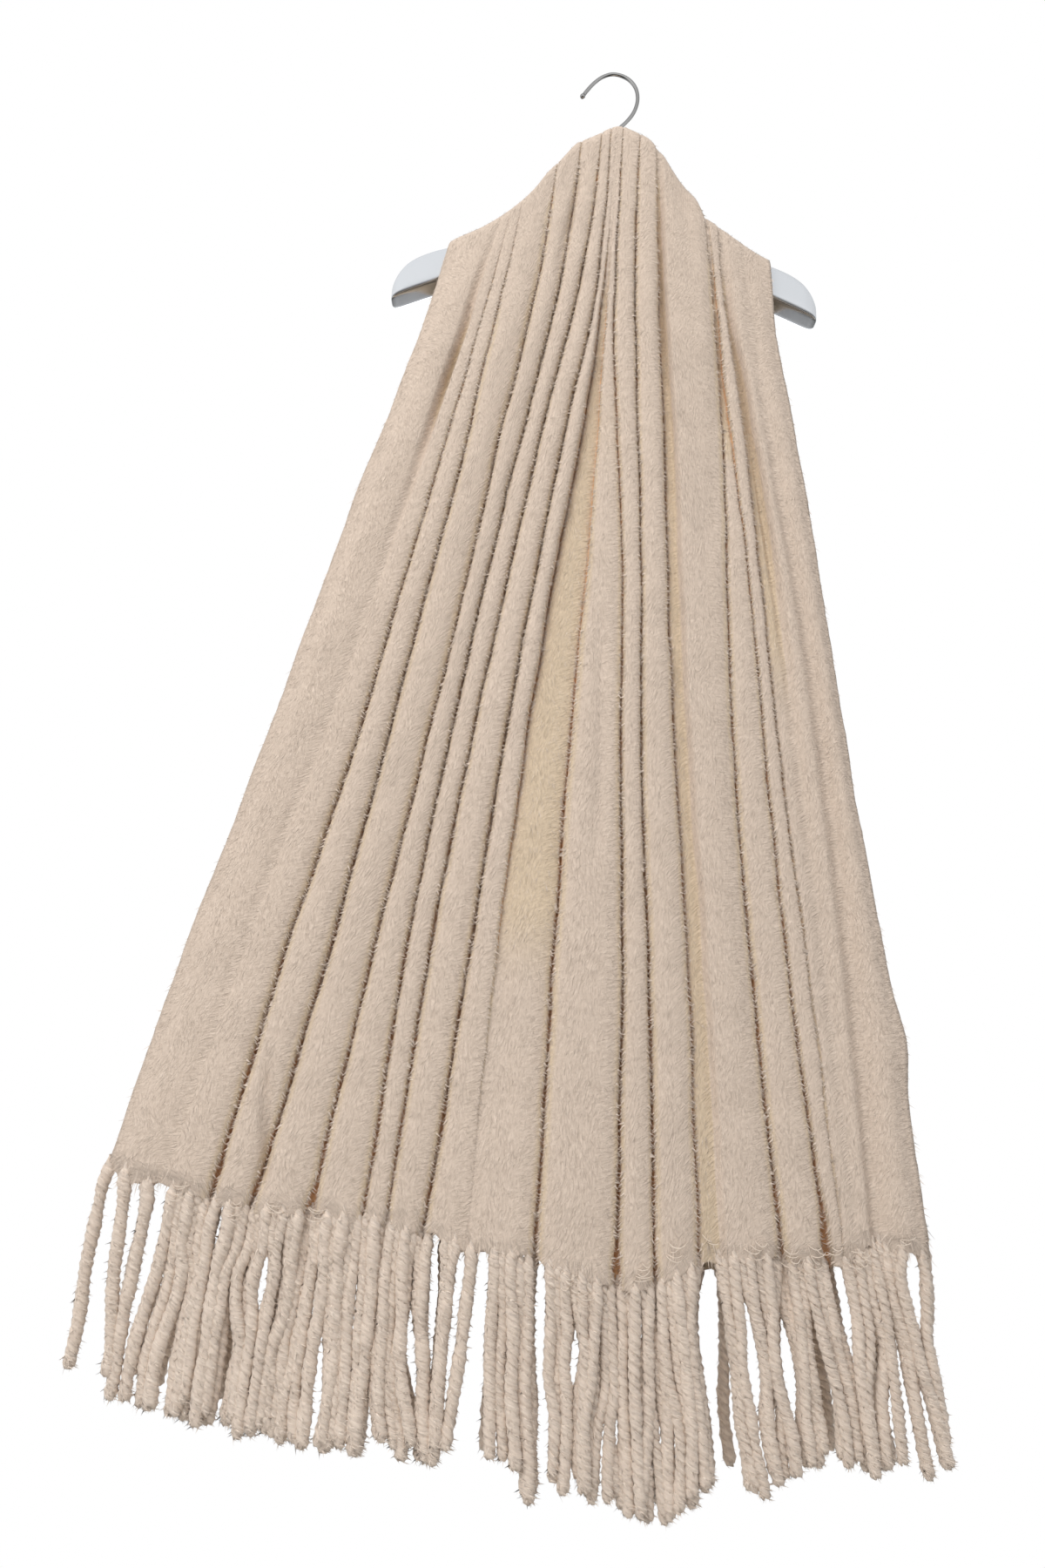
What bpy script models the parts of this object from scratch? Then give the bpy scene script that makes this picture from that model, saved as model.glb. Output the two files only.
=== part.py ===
"""Tassel scarf hanging in pleats over a clothes hanger.

Metres, +Z up, the front towards -Y, +X to the right of someone who looks at the front.
The origin is the inner top of the hook, where a rail carries the hanger.
The cloth is one long piece laid over the hanger's arms: its front fall and its back fall
meet along the ridge. Each fall is a wall of even thickness that runs in pleats. A pleat
table has a row for each crevice between two rolls of cloth, from the left edge to the right.
"""

import bpy
import bmesh
import numpy as np

MM = 0.001

# ---- driving dimensions -------------------------------------------------------------
WALL = 2.8 * MM               # cloth with the nap pressed into it
SEAM_GAP = 0.3 * MM           # between pieces that meet
CREVICE = 1.2 * MM            # clear width at the bottom of a pressed crevice
ROLL_RADIUS = 15 * MM         # most that a roll's shoulder rounds over
SOFT_REACH = 22 * MM          # how far a soft trough spreads to each side

NECK_REACH_FRONT = 29 * MM    # from the hanger's middle plane to the rolls' crests, at the neck
NECK_REACH_BACK = 31 * MM
SHOULDER_REACH_FRONT = 20 * MM    # the same beside the arms' tips
SHOULDER_REACH_BACK = 24 * MM
SHOULDER_X = 140 * MM
NECK_BEND = 24 * MM           # height in which the cloth turns from the ridge to the fall
SHOULDER_BEND = 17 * MM
HEM_SWAY = 3 * MM             # slow wave of the hem, forward and back
PARTING = 3.4 * MM            # half of the slit in which the hook's stem stands at the ridge

STRIP_HEIGHT = 6 * MM         # woven band that the tassels grow from
STRAND_PITCH = 16.5 * MM      # along the hem
STRAND_APART = 11.5 * MM      # least distance between the roots of two tassels
STRAND_WIDTH = 6.4 * MM
STRAND_LENGTH = 136 * MM
STRAND_UNEVEN = 7 * MM
LEAN_MIDDLE = 0.06            # sideways run of a tassel for each metre of its drop, at x = 0
LEAN_SPREAD = 0.42            # more of it for each metre to the right

WIRE_RADIUS = 1.8 * MM
BALL_RADIUS = 2.5 * MM
SOCKET_CLEARANCE = 0.3 * MM
STEM_FOOT_Z = -112 * MM

# Share of the way from the ridge to the hem at which the pleat tables give their values.
DROP = (0.0, 0.10, 0.20, 0.32, 0.46, 0.62, 0.80, 1.0)

# The cloth's top line over the hanger: across and height, in millimetres.
RIDGE = (
    (-140, -207), (-134, -203), (-121, -196), (-110, -189.5), (-88, -171.5), (-67, -147),
    (-56, -128.5), (-43, -112), (-30, -94.5), (-17, -87), (-1, -77.5), (10, -74), (19, -77),
    (33, -84), (46, -99), (58, -121), (68, -137), (79, -149.5), (88, -169), (99, -176.5),
    (116, -190), (136, -203.5), (147, -209.5),
)

# A row for each crevice. Columns: name, softness (0 pressed shut, 1 a soft trough), hem height,
# then across, depth and the level of the panel to its right at each DROP. All in millimetres.
FRONT_PLEATS = (
    ("left_edge", 1, -1021, (-140, -156, -175, -201, -228, -259, -297, -334),
     (0, 1, 2, 3, 4, 4, 4, 4), (0, 0, 0, 0, 0, 0, 0, 0)),
    ("shoulder_dip", 1, -1033, (-94, -112, -130, -153, -181, -214, -252, -292),
     (3, 4, 5, 4, 1, 0, 0, 0), (0, 0, 0, 0, 0, 0, 0, 0)),
    ("wide_panel", 0, -1041, (-85, -100, -116, -136, -160, -187, -223, -258),
     (0, 0, 0, 1, 8, 14, 14, 12), (0, 0, 0, 0, 0, 1, 1, 0)),
    ("second", 0, -1045, (-76, -88, -102, -117, -139, -163, -191, -228),
     (2, 4, 7, 11, 13, 14, 14, 12), (0, 0, 0, 0, 0, 0, 0, 0)),
    ("third", 0, -1047, (-47.5, -55, -67, -86, -105, -129, -157, -187),
     (5, 10, 14, 15, 15, 14, 12, 9), (1, 1, 1, 1, 1, 1, 0, 0)),
    ("fourth", 0, -1048, (-26.5, -33, -44, -64, -87, -110, -132, -148),
     (6, 12, 15, 15, 14, 13, 11, 8), (0, 0, 0, 0, 0, 0, 0, 0)),
    ("fifth", 0, -1050, (-8, -14, -26, -47.5, -69, -92, -114, -132),
     (6, 11, 15, 15, 14, 13, 11, 7), (0, 0, 0, 1, 1, 1, 0, 0)),
    ("sixth", 0, -1058, (0, -3, -9, -28, -47.5, -67, -85, -105),
     (5, 9, 13, 15, 15, 14, 13, 12), (0, 0, 1, 2, 2, 1, 0, 0)),
    ("opening_left", 0, -1063, (5.5, 2.5, -2.5, -14, -33, -50, -64, -74),
     (0, 0, 6, 13, 13, 9, 3, 0), (0, 0, -4, -9, -8, -6, -3, 0)),
    ("opening_right", 0, -1069, (7.5, 5, 1.5, -2, -7, -15, -21, -25),
     (0, 0, 4, 9, 9, 12, 13, 12), (0, 0, -1, -3, -2, -1, 0, 0)),
    ("middle", 0, -1085, (11, 9, 8.3, 14, 22.5, 26, 32, 33),
     (5, 8, 9, 8, 8, 12, 13, 12), (0, 0, 0, 0, 0, 0, 0, 0)),
    ("seventh", 0, -1083, (27, 25, 27, 32, 38, 42, 51.5, 60),
     (6, 10, 12, 10, 9, 12, 12, 10), (0, 0, 0, 0, 0, 0, 0, 0)),
    ("groove_left", 0, -1067, (41.5, 45, 49, 55, 60, 69, 81.5, 91),
     (6, 12, 16, 16, 12, 11, 10, 7), (-6, -12, -13, -10, -8, -8, -7, -4)),
    ("groove_right", 1, -1060, (44, 48, 54, 64, 71, 82, 97, 112),
     (6, 12, 13, 10, 8, 8, 7, 4), (0, 0, 0, 0, 0, 0, 0, 0)),
    ("eighth", 0, -1060, (86, 95, 102, 107, 110, 117, 131, 151),
     (5, 7, 8, 7, 7, 8, 9, 11), (-5, -7, -8, -2, 0, 0, 0, 0)),
    ("ninth", 0, -1061, (88.5, 98, 105.5, 118, 131, 143, 159, 184),
     (5, 7, 8, 4, 5, 6, 7, 12), (0, 0, 0, 0, 0, 0, 0, 0)),
    ("tenth", 0, -1058, (98.5, 105, 118, 129.5, 141, 155, 174, 194),
     (4, 8, 12, 13, 7, 5, 2, 1), (-4, -8, -12, -9, -4, -2, 0, 0)),
    ("branch", 1, -1053, (101, 108, 121.5, 137, 153, 168, 184, 204),
     (4, 8, 12, 12, 6, 2, 0, 0), (0, 0, 0, 0, 0, 0, 0, 0)),
    ("side_crease", 1, -1048, (118, 128, 139, 155, 174, 190, 205, 217),
     (0, 0, 1, 3, 4, 5, 5, 5), (0, 0, 0, 0, 0, 0, 0, 0)),
    ("right_edge", 1, -1053, (147, 152, 164, 179, 195, 213, 236, 254),
     (0, 1, 2, 3, 4, 4, 4, 4), (0, 0, 0, 0, 0, 0, 0, 0)),
)

BACK_PLEATS = (
    ("left_edge", 1, -1030, (-140, -158, -176, -199, -226, -255, -286, -318),
     (0, 1, 2, 3, 4, 4, 4, 4), (0, 0, 0, 0, 0, 0, 0, 0)),
    ("first", 0, -1040, (-94, -110, -127, -148, -172, -198, -226, -255),
     (3, 5, 8, 11, 13, 13, 12, 10), (0, 0, 0, 0, 0, 0, 0, 0)),
    ("second", 0, -1050, (-76, -87, -99, -115, -134, -156, -180, -204),
     (2, 5, 8, 7, 4, 5, 9, 11), (0, 0, 0, 0, 0, 0, 0, 0)),
    ("third", 0, -1056, (-47.5, -56, -67, -81, -98, -117, -137, -157),
     (5, 10, 14, 15, 14, 12, 10, 9), (1, 1, 1, 1, 0, 0, 0, 0)),
    ("fourth", 0, -1061, (-26.5, -34, -43, -55, -70, -87, -105, -123),
     (6, 11, 13, 9, 5, 3, 6, 9), (0, 0, 0, 0, 0, 0, 0, 0)),
    ("fifth", 0, -1066, (-8, -13, -20, -30, -43, -57, -72, -88),
     (6, 11, 14, 15, 14, 12, 10, 9), (0, 1, 1, 1, 1, 0, 0, 0)),
    ("sixth", 0, -1072, (0, -2, -5, -10, -18, -27, -37, -46),
     (5, 8, 10, 12, 13, 13, 12, 11), (0, 0, 0, 0, 0, 0, 0, 0)),
    ("seventh", 0, -1076, (11, 14, 17, 20, 23, 26, 29, 31),
     (6, 8, 9, 6, 4, 7, 10, 10), (0, 0, 0, 0, 0, 0, 0, 0)),
    ("eighth", 0, -1074, (27, 31, 36, 42, 49, 58, 67, 77),
     (6, 10, 13, 14, 14, 13, 11, 10), (0, 0, 0, 0, 0, 0, 0, 0)),
    ("ninth", 0, -1069, (42, 50, 60, 72, 87, 104, 123, 143),
     (6, 12, 15, 15, 13, 11, 9, 7), (0, 0, 0, 0, 0, 0, 0, 0)),
    ("tenth", 0, -1062, (86, 93, 101, 112, 126, 142, 159, 176),
     (5, 7, 8, 10, 12, 13, 12, 11), (0, 0, 0, 0, 0, 0, 0, 0)),
    ("eleventh", 0, -1056, (99, 107, 117, 131, 149, 169, 190, 211),
     (4, 6, 4, 2, 4, 8, 9, 9), (0, 0, 0, 0, 0, 0, 0, 0)),
    ("right_edge", 1, -1047, (147, 154, 165, 181, 202, 225, 249, 271),
     (0, 1, 2, 3, 4, 4, 4, 4), (0, 0, 0, 0, 0, 0, 0, 0)),
)

# Where the grid has points across a panel, as shares of the shoulder's radius from a crevice.
PRESSED_STEPS = (0.0, 0.12, 0.5, 1.0)
SOFT_STEPS = (0.0, 0.5, 1.0)
STRIP_STEPS = (0.0, 0.3, 1.0)
FRONT_ROWS = (0.11, 0.21, 0.33, 0.48, 0.65, 0.83, 1.0)
BACK_ROWS = (0.13, 0.27, 0.43, 0.62, 0.82, 1.0)
BEND_ANGLES = (0, 38, 68, 90)

# Hanger arms: across, top, bottom and depth to the front and to the back, in millimetres.
ARM_SECTIONS = (
    (0, -99, -178, 8, 8), (9, -100, -179, 8, 8), (16, -117, -183, 8, 8),
    (28, -142, -190, 8.5, 8.5), (50, -165, -201, 9, 9.5), (80, -185, -214, 9.5, 11),
    (110, -199.5, -229, 10.5, 13), (140, -212.5, -244.5, 11, 14), (156, -218.3, -252.5, 11, 14),
    (170, -225.5, -259, 11, 14), (179, -233, -263.5, 11, 13.5), (186, -243, -267, 10.4, 12.4),
    (190, -252, -269, 8.8, 9.8), (191.7, -257.5, -269.5, 6.5, 7), (192.3, -261.5, -269, 4, 4.2),
)

# The wire's middle line, from its open end over the top to the foot: across and height.
HOOK_LINE = (
    (-28.8, -28.5), (-22.6, -17.8), (-15.9, -8.6), (-8.6, -1.9), (0.3, 1.8), (10.2, 0.2),
    (18.4, -5.6), (23.6, -14.4), (25.4, -25.0), (24.3, -35.2), (20.8, -45.2), (14.9, -54.8),
    (8.0, -63.2), (3.0, -72.5), (0.6, -84.0), (0.0, -97.0),
)
HOOK_STEPS = 42
HOOK_SIDES = 9


# ---- helpers ------------------------------------------------------------------------
def through(x, table_x, table_y):
    """A smooth curve through the table's points, without overshoot, read at x."""
    tx = np.asarray(table_x, float)
    ty = np.asarray(table_y, float)
    step = np.diff(tx)
    slope = np.diff(ty) / step
    inner = np.where(slope[:-1] * slope[1:] > 0,
                     2 * slope[:-1] * slope[1:] / (slope[:-1] + slope[1:] + 1e-12), 0.0)
    tangent = np.concatenate([slope[:1], inner, slope[-1:]])
    x = np.clip(np.asarray(x, float), tx[0], tx[-1])
    i = np.clip(np.searchsorted(tx, x, side="right") - 1, 0, len(step) - 1)
    t = (x - tx[i]) / step[i]
    return ((1 + 2 * t) * (1 - t) ** 2 * ty[i] + t * (1 - t) ** 2 * step[i] * tangent[i]
            + t * t * (3 - 2 * t) * ty[i + 1] + t * t * (t - 1) * step[i] * tangent[i + 1])


def rounded_curve(points, count):
    """Catmull-Rom curve through (across, height) points, as count evenly spaced points."""
    p = np.asarray(points, float)
    padded = np.vstack([2 * p[0] - p[1], p, 2 * p[-1] - p[-2]])
    t = np.linspace(0, 1, 24, endpoint=False)[:, None]
    runs = []
    for a, b, c, d in zip(padded[:-3], padded[1:-2], padded[2:-1], padded[3:]):
        runs.append(0.5 * (2 * b + (c - a) * t + (2 * a - 5 * b + 4 * c - d) * t ** 2
                           + (3 * b - a - 3 * c + d) * t ** 3))
    dense = np.vstack(runs + [p[-1:]])
    way = np.concatenate([[0], np.cumsum(np.linalg.norm(np.diff(dense, axis=0), axis=1))])
    even = np.linspace(0, way[-1], count)
    return np.column_stack([np.interp(even, way, dense[:, 0]), np.interp(even, way, dense[:, 1])])


def blend(a, b, t):
    t = np.clip(t, 0, 1)
    t = t * t * (3 - 2 * t)
    return a + (b - a) * t


def principled(name, color, roughness, metallic=0.0):
    material = bpy.data.materials.new(name)
    material.use_nodes = True
    shader = material.node_tree.nodes["Principled BSDF"]
    shader.inputs["Base Color"].default_value = (*color, 1.0)
    shader.inputs["Roughness"].default_value = roughness
    shader.inputs["Metallic"].default_value = metallic
    material.diffuse_color = (*color, 1.0)
    return material


def add_object(name, points, faces, material, smooth_angle=0.9):
    mesh = bpy.data.meshes.new(name)
    mesh.from_pydata([tuple(map(float, p)) for p in points], [], faces)
    grid = bmesh.new()
    grid.from_mesh(mesh)
    bmesh.ops.recalc_face_normals(grid, faces=grid.faces)
    bmesh.ops.triangulate(grid, faces=[f for f in grid.faces if len(f.verts) > 3])
    grid.to_mesh(mesh)
    grid.free()
    mesh.shade_smooth()
    mesh.set_sharp_from_angle(angle=smooth_angle)
    mesh.materials.append(material)
    part = bpy.data.objects.new(name, mesh)
    bpy.context.scene.collection.objects.link(part)
    return part


# ---- the pleated cloth ----------------------------------------------------------------
def ridge_height(x):
    """Height of the cloth's top line at x."""
    table = np.array(RIDGE) * MM
    return through(x, table[:, 0], table[:, 1])


def ridge_normal(x):
    """Unit vector square to the top line at x, in the plane of the hanger."""
    reach = 9 * MM
    rise = (ridge_height(x + reach) - ridge_height(x - reach)) / (2 * reach)
    size = np.sqrt(1 + rise ** 2)
    return -rise / size, 1 / size


def over_arms(x, at_neck, at_shoulder):
    """A measure that changes from the neck to the arms' tips."""
    near = 1 - np.clip(np.abs(x) / SHOULDER_X, 0, 1) ** 2
    return at_shoulder + (at_neck - at_shoulder) * near


class Fall:
    """One fall of the cloth, front (side = -1) or back (side = +1), read from its pleat table."""

    def __init__(self, pleats, side):
        self.side = side
        self.neck_reach = NECK_REACH_FRONT if side < 0 else NECK_REACH_BACK
        self.shoulder_reach = SHOULDER_REACH_FRONT if side < 0 else SHOULDER_REACH_BACK
        self.soft = np.array([row[1] for row in pleats], float)
        self.hem = np.array([row[2] for row in pleats]) * MM
        self.across = np.array([row[3] for row in pleats]) * MM
        self.depth = np.array([row[4] for row in pleats]) * MM
        self.level = np.array([row[5] for row in pleats]) * MM

    def at(self, table, drop):
        """Each pleat's value of one table column group at a drop."""
        return np.array([through(drop, DROP, row) for row in table])

    def columns(self, pressed_steps, soft_steps=SOFT_STEPS):
        """(pleat, side of it, share of the shoulder) for each grid column, left to right."""
        found = []
        last = len(self.soft) - 1
        for k in range(last):
            left = soft_steps if self.soft[k] else pressed_steps
            right = soft_steps if self.soft[k + 1] else pressed_steps
            if self.soft[k] and k > 0:
                left = left[1:]
            found += [(k, 1, q) for q in left]
            found += [(k + 1, -1, q) for q in reversed(right)]
        return found

    def row(self, columns, drop):
        """Across, outward displacement, and the same for the inner face, at one drop."""
        line = self.at(self.across, drop)
        depth = self.at(self.depth, drop)
        level = self.at(self.level, drop)
        width = np.diff(line)
        last = len(line) - 1
        x_out, out, x_in, inn = [], [], [], []
        for k, way, q in columns:
            panel = k if way > 0 else k - 1
            reach_most = SOFT_REACH if self.soft[k] else ROLL_RADIUS
            reach = min(reach_most, 0.46 * width[panel])
            slot = 0.0 if self.soft[k] or k in (0, last) else min(0.5 * CREVICE, 0.2 * reach)
            crest = level[panel]
            sink = depth[k] + crest
            if self.soft[k]:
                fall_share = 0.5 + 0.5 * np.cos(np.pi * q)
                shift = 0.0
            else:
                fall_share = 1 - np.sqrt(1 - (1 - q) ** 2)
                shift = min(WALL * min(1.0, max(sink, 0) / (2 * WALL)), reach - slot - 0.3 * MM)
                shift = max(shift, 0.0)
            edge_pull = WALL if k in (0, last) else 0.0
            x_out.append(line[k] + way * (slot + q * (reach - slot)))
            out.append(crest - sink * fall_share)
            start = slot + max(shift, 0.6 * edge_pull)
            x_in.append(line[k] + way * (start + q * (reach - start)))
            inn.append(crest - sink * fall_share - WALL)
        return np.array(x_out), np.array(out), np.array(x_in), np.array(inn)

    def place(self, x, out, drop, below_hem=0.0):
        """The point at x that stands out from the crests by out, at a drop (0 ridge, 1 hem)."""
        lines_now = self.at(self.across, drop)
        start = np.interp(x, lines_now, self.across[:, 0])
        top = ridge_height(start)
        bottom = np.interp(x, lines_now, self.hem)
        z = top + (bottom - top) * drop - below_hem
        fallen = np.clip((top - z) / over_arms(start, NECK_BEND, SHOULDER_BEND), 0, 1)
        cosine = 1 - fallen
        sine = np.sqrt(1 - cosine ** 2)
        nx, nz = ridge_normal(start)
        ax, ay, az = cosine * nx, sine, cosine * nz
        size = np.sqrt(ax ** 2 + ay ** 2 + az ** 2)
        away = self.reach(x, start, drop) * sine + 0.5 * SEAM_GAP + self.parting(x, fallen)
        return np.column_stack([x + out * ax / size,
                                self.side * (away + out * ay / size),
                                z + out * az / size])

    def reach(self, x, start, drop):
        """Distance from the hanger's middle plane to the crests of the rolls, below the bend."""
        top = over_arms(start, self.neck_reach, self.shoulder_reach)
        sway = HEM_SWAY * np.sin(23 * x + 1.1) * drop ** 2
        return blend(top, self.neck_reach - 3 * MM, drop / 0.3) + sway

    def parting(self, x, fallen):
        """Room that the cloth leaves round the hook's stem where it passes the ridge."""
        return PARTING * np.exp(-((x - 2 * MM) / (10 * MM)) ** 2) * (1 - fallen) ** 2

    def drops(self, rows):
        """Drops of the grid's rows: first round the bend, then down the fall."""
        height = 0.9
        bend = [NECK_BEND * (1 - np.cos(np.radians(a))) / height for a in BEND_ANGLES]
        return bend + [d for d in rows]


def wall_mesh(outer, inner):
    """Closed mesh of a wall from two grids of points, rows by columns."""
    rows, cols = outer.shape[:2]
    points = np.vstack([outer.reshape(-1, 3), inner.reshape(-1, 3)])
    far = rows * cols

    def cell(r, c):
        return r * cols + c

    faces = []
    for r in range(rows - 1):
        for c in range(cols - 1):
            quad = (cell(r, c), cell(r, c + 1), cell(r + 1, c + 1), cell(r + 1, c))
            faces.append(quad)
            faces.append(tuple(far + v for v in reversed(quad)))
    for c in range(cols - 1):
        faces.append((cell(0, c + 1), cell(0, c), far + cell(0, c), far + cell(0, c + 1)))
        low = rows - 1
        faces.append((cell(low, c), cell(low, c + 1), far + cell(low, c + 1), far + cell(low, c)))
    for r in range(rows - 1):
        faces.append((cell(r, 0), cell(r + 1, 0), far + cell(r + 1, 0), far + cell(r, 0)))
        end = cols - 1
        faces.append((cell(r + 1, end), cell(r, end), far + cell(r, end), far + cell(r + 1, end)))
    return points, faces


def fall_grids(fall, columns, drops, below_hem=(0.0,)):
    """Outer and inner grids of a fall, a row for each drop, or for each step below the hem."""
    outer, inner = [], []
    for drop in drops:
        for below in below_hem:
            x_out, out, x_in, inn = fall.row(columns, drop)
            outer.append(fall.place(x_out, out, drop, below))
            inner.append(fall.place(x_in, inn, drop, below))
    return np.array(outer), np.array(inner)


def make_fall(name, fall, rows, material):
    columns = fall.columns(PRESSED_STEPS)
    outer, inner = fall_grids(fall, columns, fall.drops(rows))
    points, faces = wall_mesh(outer, inner)
    return add_object(name, points, faces, material)


# ---- the tassels ------------------------------------------------------------------------
def strand_roots(fall):
    """Root points along the middle of the hem's wall, as far apart as STRAND_PITCH and no nearer."""
    columns = fall.columns((0.0, 0.05, 0.12, 0.25, 0.5, 0.75, 1.0))
    x_out, out, x_in, inn = fall.row(columns, 1.0)
    middle = 0.5 * (fall.place(x_out, out, 1.0, STRIP_HEIGHT) + fall.place(x_in, inn, 1.0, STRIP_HEIGHT))
    way = np.concatenate([[0], np.cumsum(np.linalg.norm(np.diff(middle, axis=0), axis=1))])
    roots = []
    at = 0.3 * STRAND_PITCH
    while at < way[-1] - 0.25 * STRAND_PITCH:
        root = np.array([np.interp(at, way, middle[:, i]) for i in range(3)])
        if all(np.linalg.norm(root[:2] - other[:2]) > STRAND_APART for other in roots):
            roots.append(root)
            at += STRAND_PITCH
        else:
            at += 1 * MM
    return roots


def strand_mesh(root, fall, random):
    """A four-sided tassel that grows out of the strip and hangs with a slight bow."""
    lean = LEAN_MIDDLE + LEAN_SPREAD * root[0] + 0.012 * np.sin(190 * root[0])
    out = fall.side * 0.015 * np.sin(90 * root[0])
    length = STRAND_LENGTH + random.uniform(-1, 1) * STRAND_UNEVEN
    turn = random.uniform(0, np.pi / 2)
    bow = 2 * MM * np.sin(61 * root[0])
    shares = (0.0, 0.07, 0.5, 1.0)
    widths = (0.35, 1.0, 1.05, 0.7)
    top = root + np.array([0, 0, STRIP_HEIGHT - 2.4 * MM])
    points = []
    for share, width in zip(shares, widths):
        middle = top + np.array([lean * length * share + bow * np.sin(np.pi * share),
                                 out * length * share, -length * share])
        for corner in range(4):
            angle = turn + corner * np.pi / 2
            half = 0.5 * STRAND_WIDTH * width * 2 ** 0.5
            points.append(middle + half * np.array([np.cos(angle), np.sin(angle), 0]))
    faces = [(0, 1, 2, 3)]
    rings = len(shares)
    for ring in range(rings - 1):
        for corner in range(4):
            a = 4 * ring + corner
            b = 4 * ring + (corner + 1) % 4
            faces.append((a, a + 4, b + 4, b))
    faces.append(tuple(4 * (rings - 1) + c for c in (3, 2, 1, 0)))
    return points, faces


def make_fringe(name, fall, material, seed):
    """A narrow strip that follows the hem, just below it, with the tassels fused to it."""
    columns = fall.columns(STRIP_STEPS, STRIP_STEPS)
    outer, inner = fall_grids(fall, columns, (1.0,), (SEAM_GAP, STRIP_HEIGHT))
    strip = add_object(name, *wall_mesh(outer, inner), material)
    random = np.random.default_rng(seed)
    points, faces = [], []
    for root in strand_roots(fall):
        more_points, more_faces = strand_mesh(root, fall, random)
        faces += [tuple(len(points) + v for v in face) for face in more_faces]
        points += more_points
    tassels = add_object(name + "_tassels", points, faces, material)
    tassels.hide_render = True
    tassels.display_type = "WIRE"
    join = strip.modifiers.new("tassels", "BOOLEAN")
    join.operation = "UNION"
    join.solver = "EXACT"
    join.object = tassels
    return strip


# ---- the hanger --------------------------------------------------------------------------
def make_arms(material):
    """Both arms and the raised neck, as one body of rounded sections along X."""
    table = np.array(ARM_SECTIONS, float) * MM
    right = table[1:]
    left = right[::-1] * np.array([-1, 1, 1, 1, 1])
    sections = np.vstack([left, table[:1], right])
    corner_angles = np.radians([0, 45, 90])
    points = []
    for x, top, bottom, front, back in sections:
        radius = 0.25 * min(top - bottom, front + back)
        ring = []
        for y_sign, z_sign, start in ((1, 1, 0), (-1, 1, 90), (-1, -1, 180), (1, -1, 270)):
            y_mid = (back - radius) if y_sign > 0 else -(front - radius)
            z_mid = (top - radius) if z_sign > 0 else (bottom + radius)
            for angle in corner_angles + np.radians(start):
                ring.append((x, y_mid + radius * np.cos(angle), z_mid + radius * np.sin(angle)))
        points += ring
    sides = 4 * len(corner_angles)
    faces = [tuple(range(sides))]
    for s in range(len(sections) - 1):
        for c in range(sides):
            a = s * sides + c
            b = s * sides + (c + 1) % sides
            faces.append((a, a + sides, b + sides, b))
    last = (len(sections) - 1) * sides
    faces.append(tuple(last + c for c in reversed(range(sides))))
    arms = add_object("hanger_arms", points, faces, material)

    bpy.ops.mesh.primitive_cylinder_add(vertices=12, radius=WIRE_RADIUS + SOCKET_CLEARANCE,
                                        depth=36 * MM, location=(0, 0, STEM_FOOT_Z + 17.7 * MM))
    socket = bpy.context.active_object
    socket.name = "stem_socket"
    socket.hide_render = True
    socket.display_type = "WIRE"
    cut = arms.modifiers.new("stem socket", "BOOLEAN")
    cut.operation = "DIFFERENCE"
    cut.solver = "EXACT"
    cut.object = socket
    return arms


def make_hook(material):
    """Bent wire with a small ball at its open end. Its stem stands in the neck's socket."""
    line = np.vstack([HOOK_LINE, [(0.0, STEM_FOOT_Z / MM)]]) * MM
    path = rounded_curve(line, HOOK_STEPS)
    way = np.concatenate([[0], np.cumsum(np.linalg.norm(np.diff(path, axis=0), axis=1))])
    radii = np.full(len(path), WIRE_RADIUS)
    ball_steps = np.radians([18, 50, 90, 125])
    ball_way = BALL_RADIUS * (1 - np.cos(ball_steps))
    ball_radii = BALL_RADIUS * np.sin(ball_steps)
    stem_way = way[way > ball_way[-1] + 1 * MM]
    at = np.concatenate([ball_way, stem_way])
    size = np.concatenate([ball_radii, radii[:len(stem_way)]])
    x = np.interp(at, way, path[:, 0])
    z = np.interp(at, way, path[:, 1])
    tangent = np.column_stack([np.gradient(x, at), np.gradient(z, at)])
    tangent /= np.linalg.norm(tangent, axis=1)[:, None]
    points = []
    for i in range(len(at)):
        for side in range(HOOK_SIDES):
            angle = 2 * np.pi * side / HOOK_SIDES
            across = size[i] * np.cos(angle)
            points.append((x[i] - tangent[i, 1] * across, size[i] * np.sin(angle),
                           z[i] + tangent[i, 0] * across))
    faces = [tuple(range(HOOK_SIDES))]
    for ring in range(len(at) - 1):
        for side in range(HOOK_SIDES):
            a = ring * HOOK_SIDES + side
            b = ring * HOOK_SIDES + (side + 1) % HOOK_SIDES
            faces.append((a, a + HOOK_SIDES, b + HOOK_SIDES, b))
    last = (len(at) - 1) * HOOK_SIDES
    faces.append(tuple(last + s for s in reversed(range(HOOK_SIDES))))
    return add_object("hook", points, faces, material, smooth_angle=1.2)


def main():
    for item in list(bpy.data.objects):
        bpy.data.objects.remove(item)
    cloth = principled("brushed_cloth", (0.62, 0.50, 0.40), 0.95)
    cords = principled("twisted_tassels", (0.58, 0.47, 0.38), 0.95)
    lacquer = principled("silver_lacquer", (0.66, 0.69, 0.73), 0.2, 0.6)
    steel = principled("polished_wire", (0.72, 0.71, 0.70), 0.15, 1.0)
    front = Fall(FRONT_PLEATS, -1)
    back = Fall(BACK_PLEATS, +1)
    make_fall("front_fall", front, FRONT_ROWS, cloth)
    make_fall("back_fall", back, BACK_ROWS, cloth)
    make_fringe("front_fringe", front, cords, 11)
    make_fringe("back_fringe", back, cords, 23)
    make_arms(lacquer)
    make_hook(steel)


main()
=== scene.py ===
"""Tassel scarf hung in pleats over a clothes hanger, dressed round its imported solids.

Metres, +Z up, the front towards -Y; the origin is the inner top of the hook.
Pleat tables give each crevice's place across the cloth and its depth at named drops, so that
the cloth is worked out as whole arrays: rows go down from the ridge, columns go across.
"""
import math

import bpy
import numpy as np
from mathutils import Matrix, Vector


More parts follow.
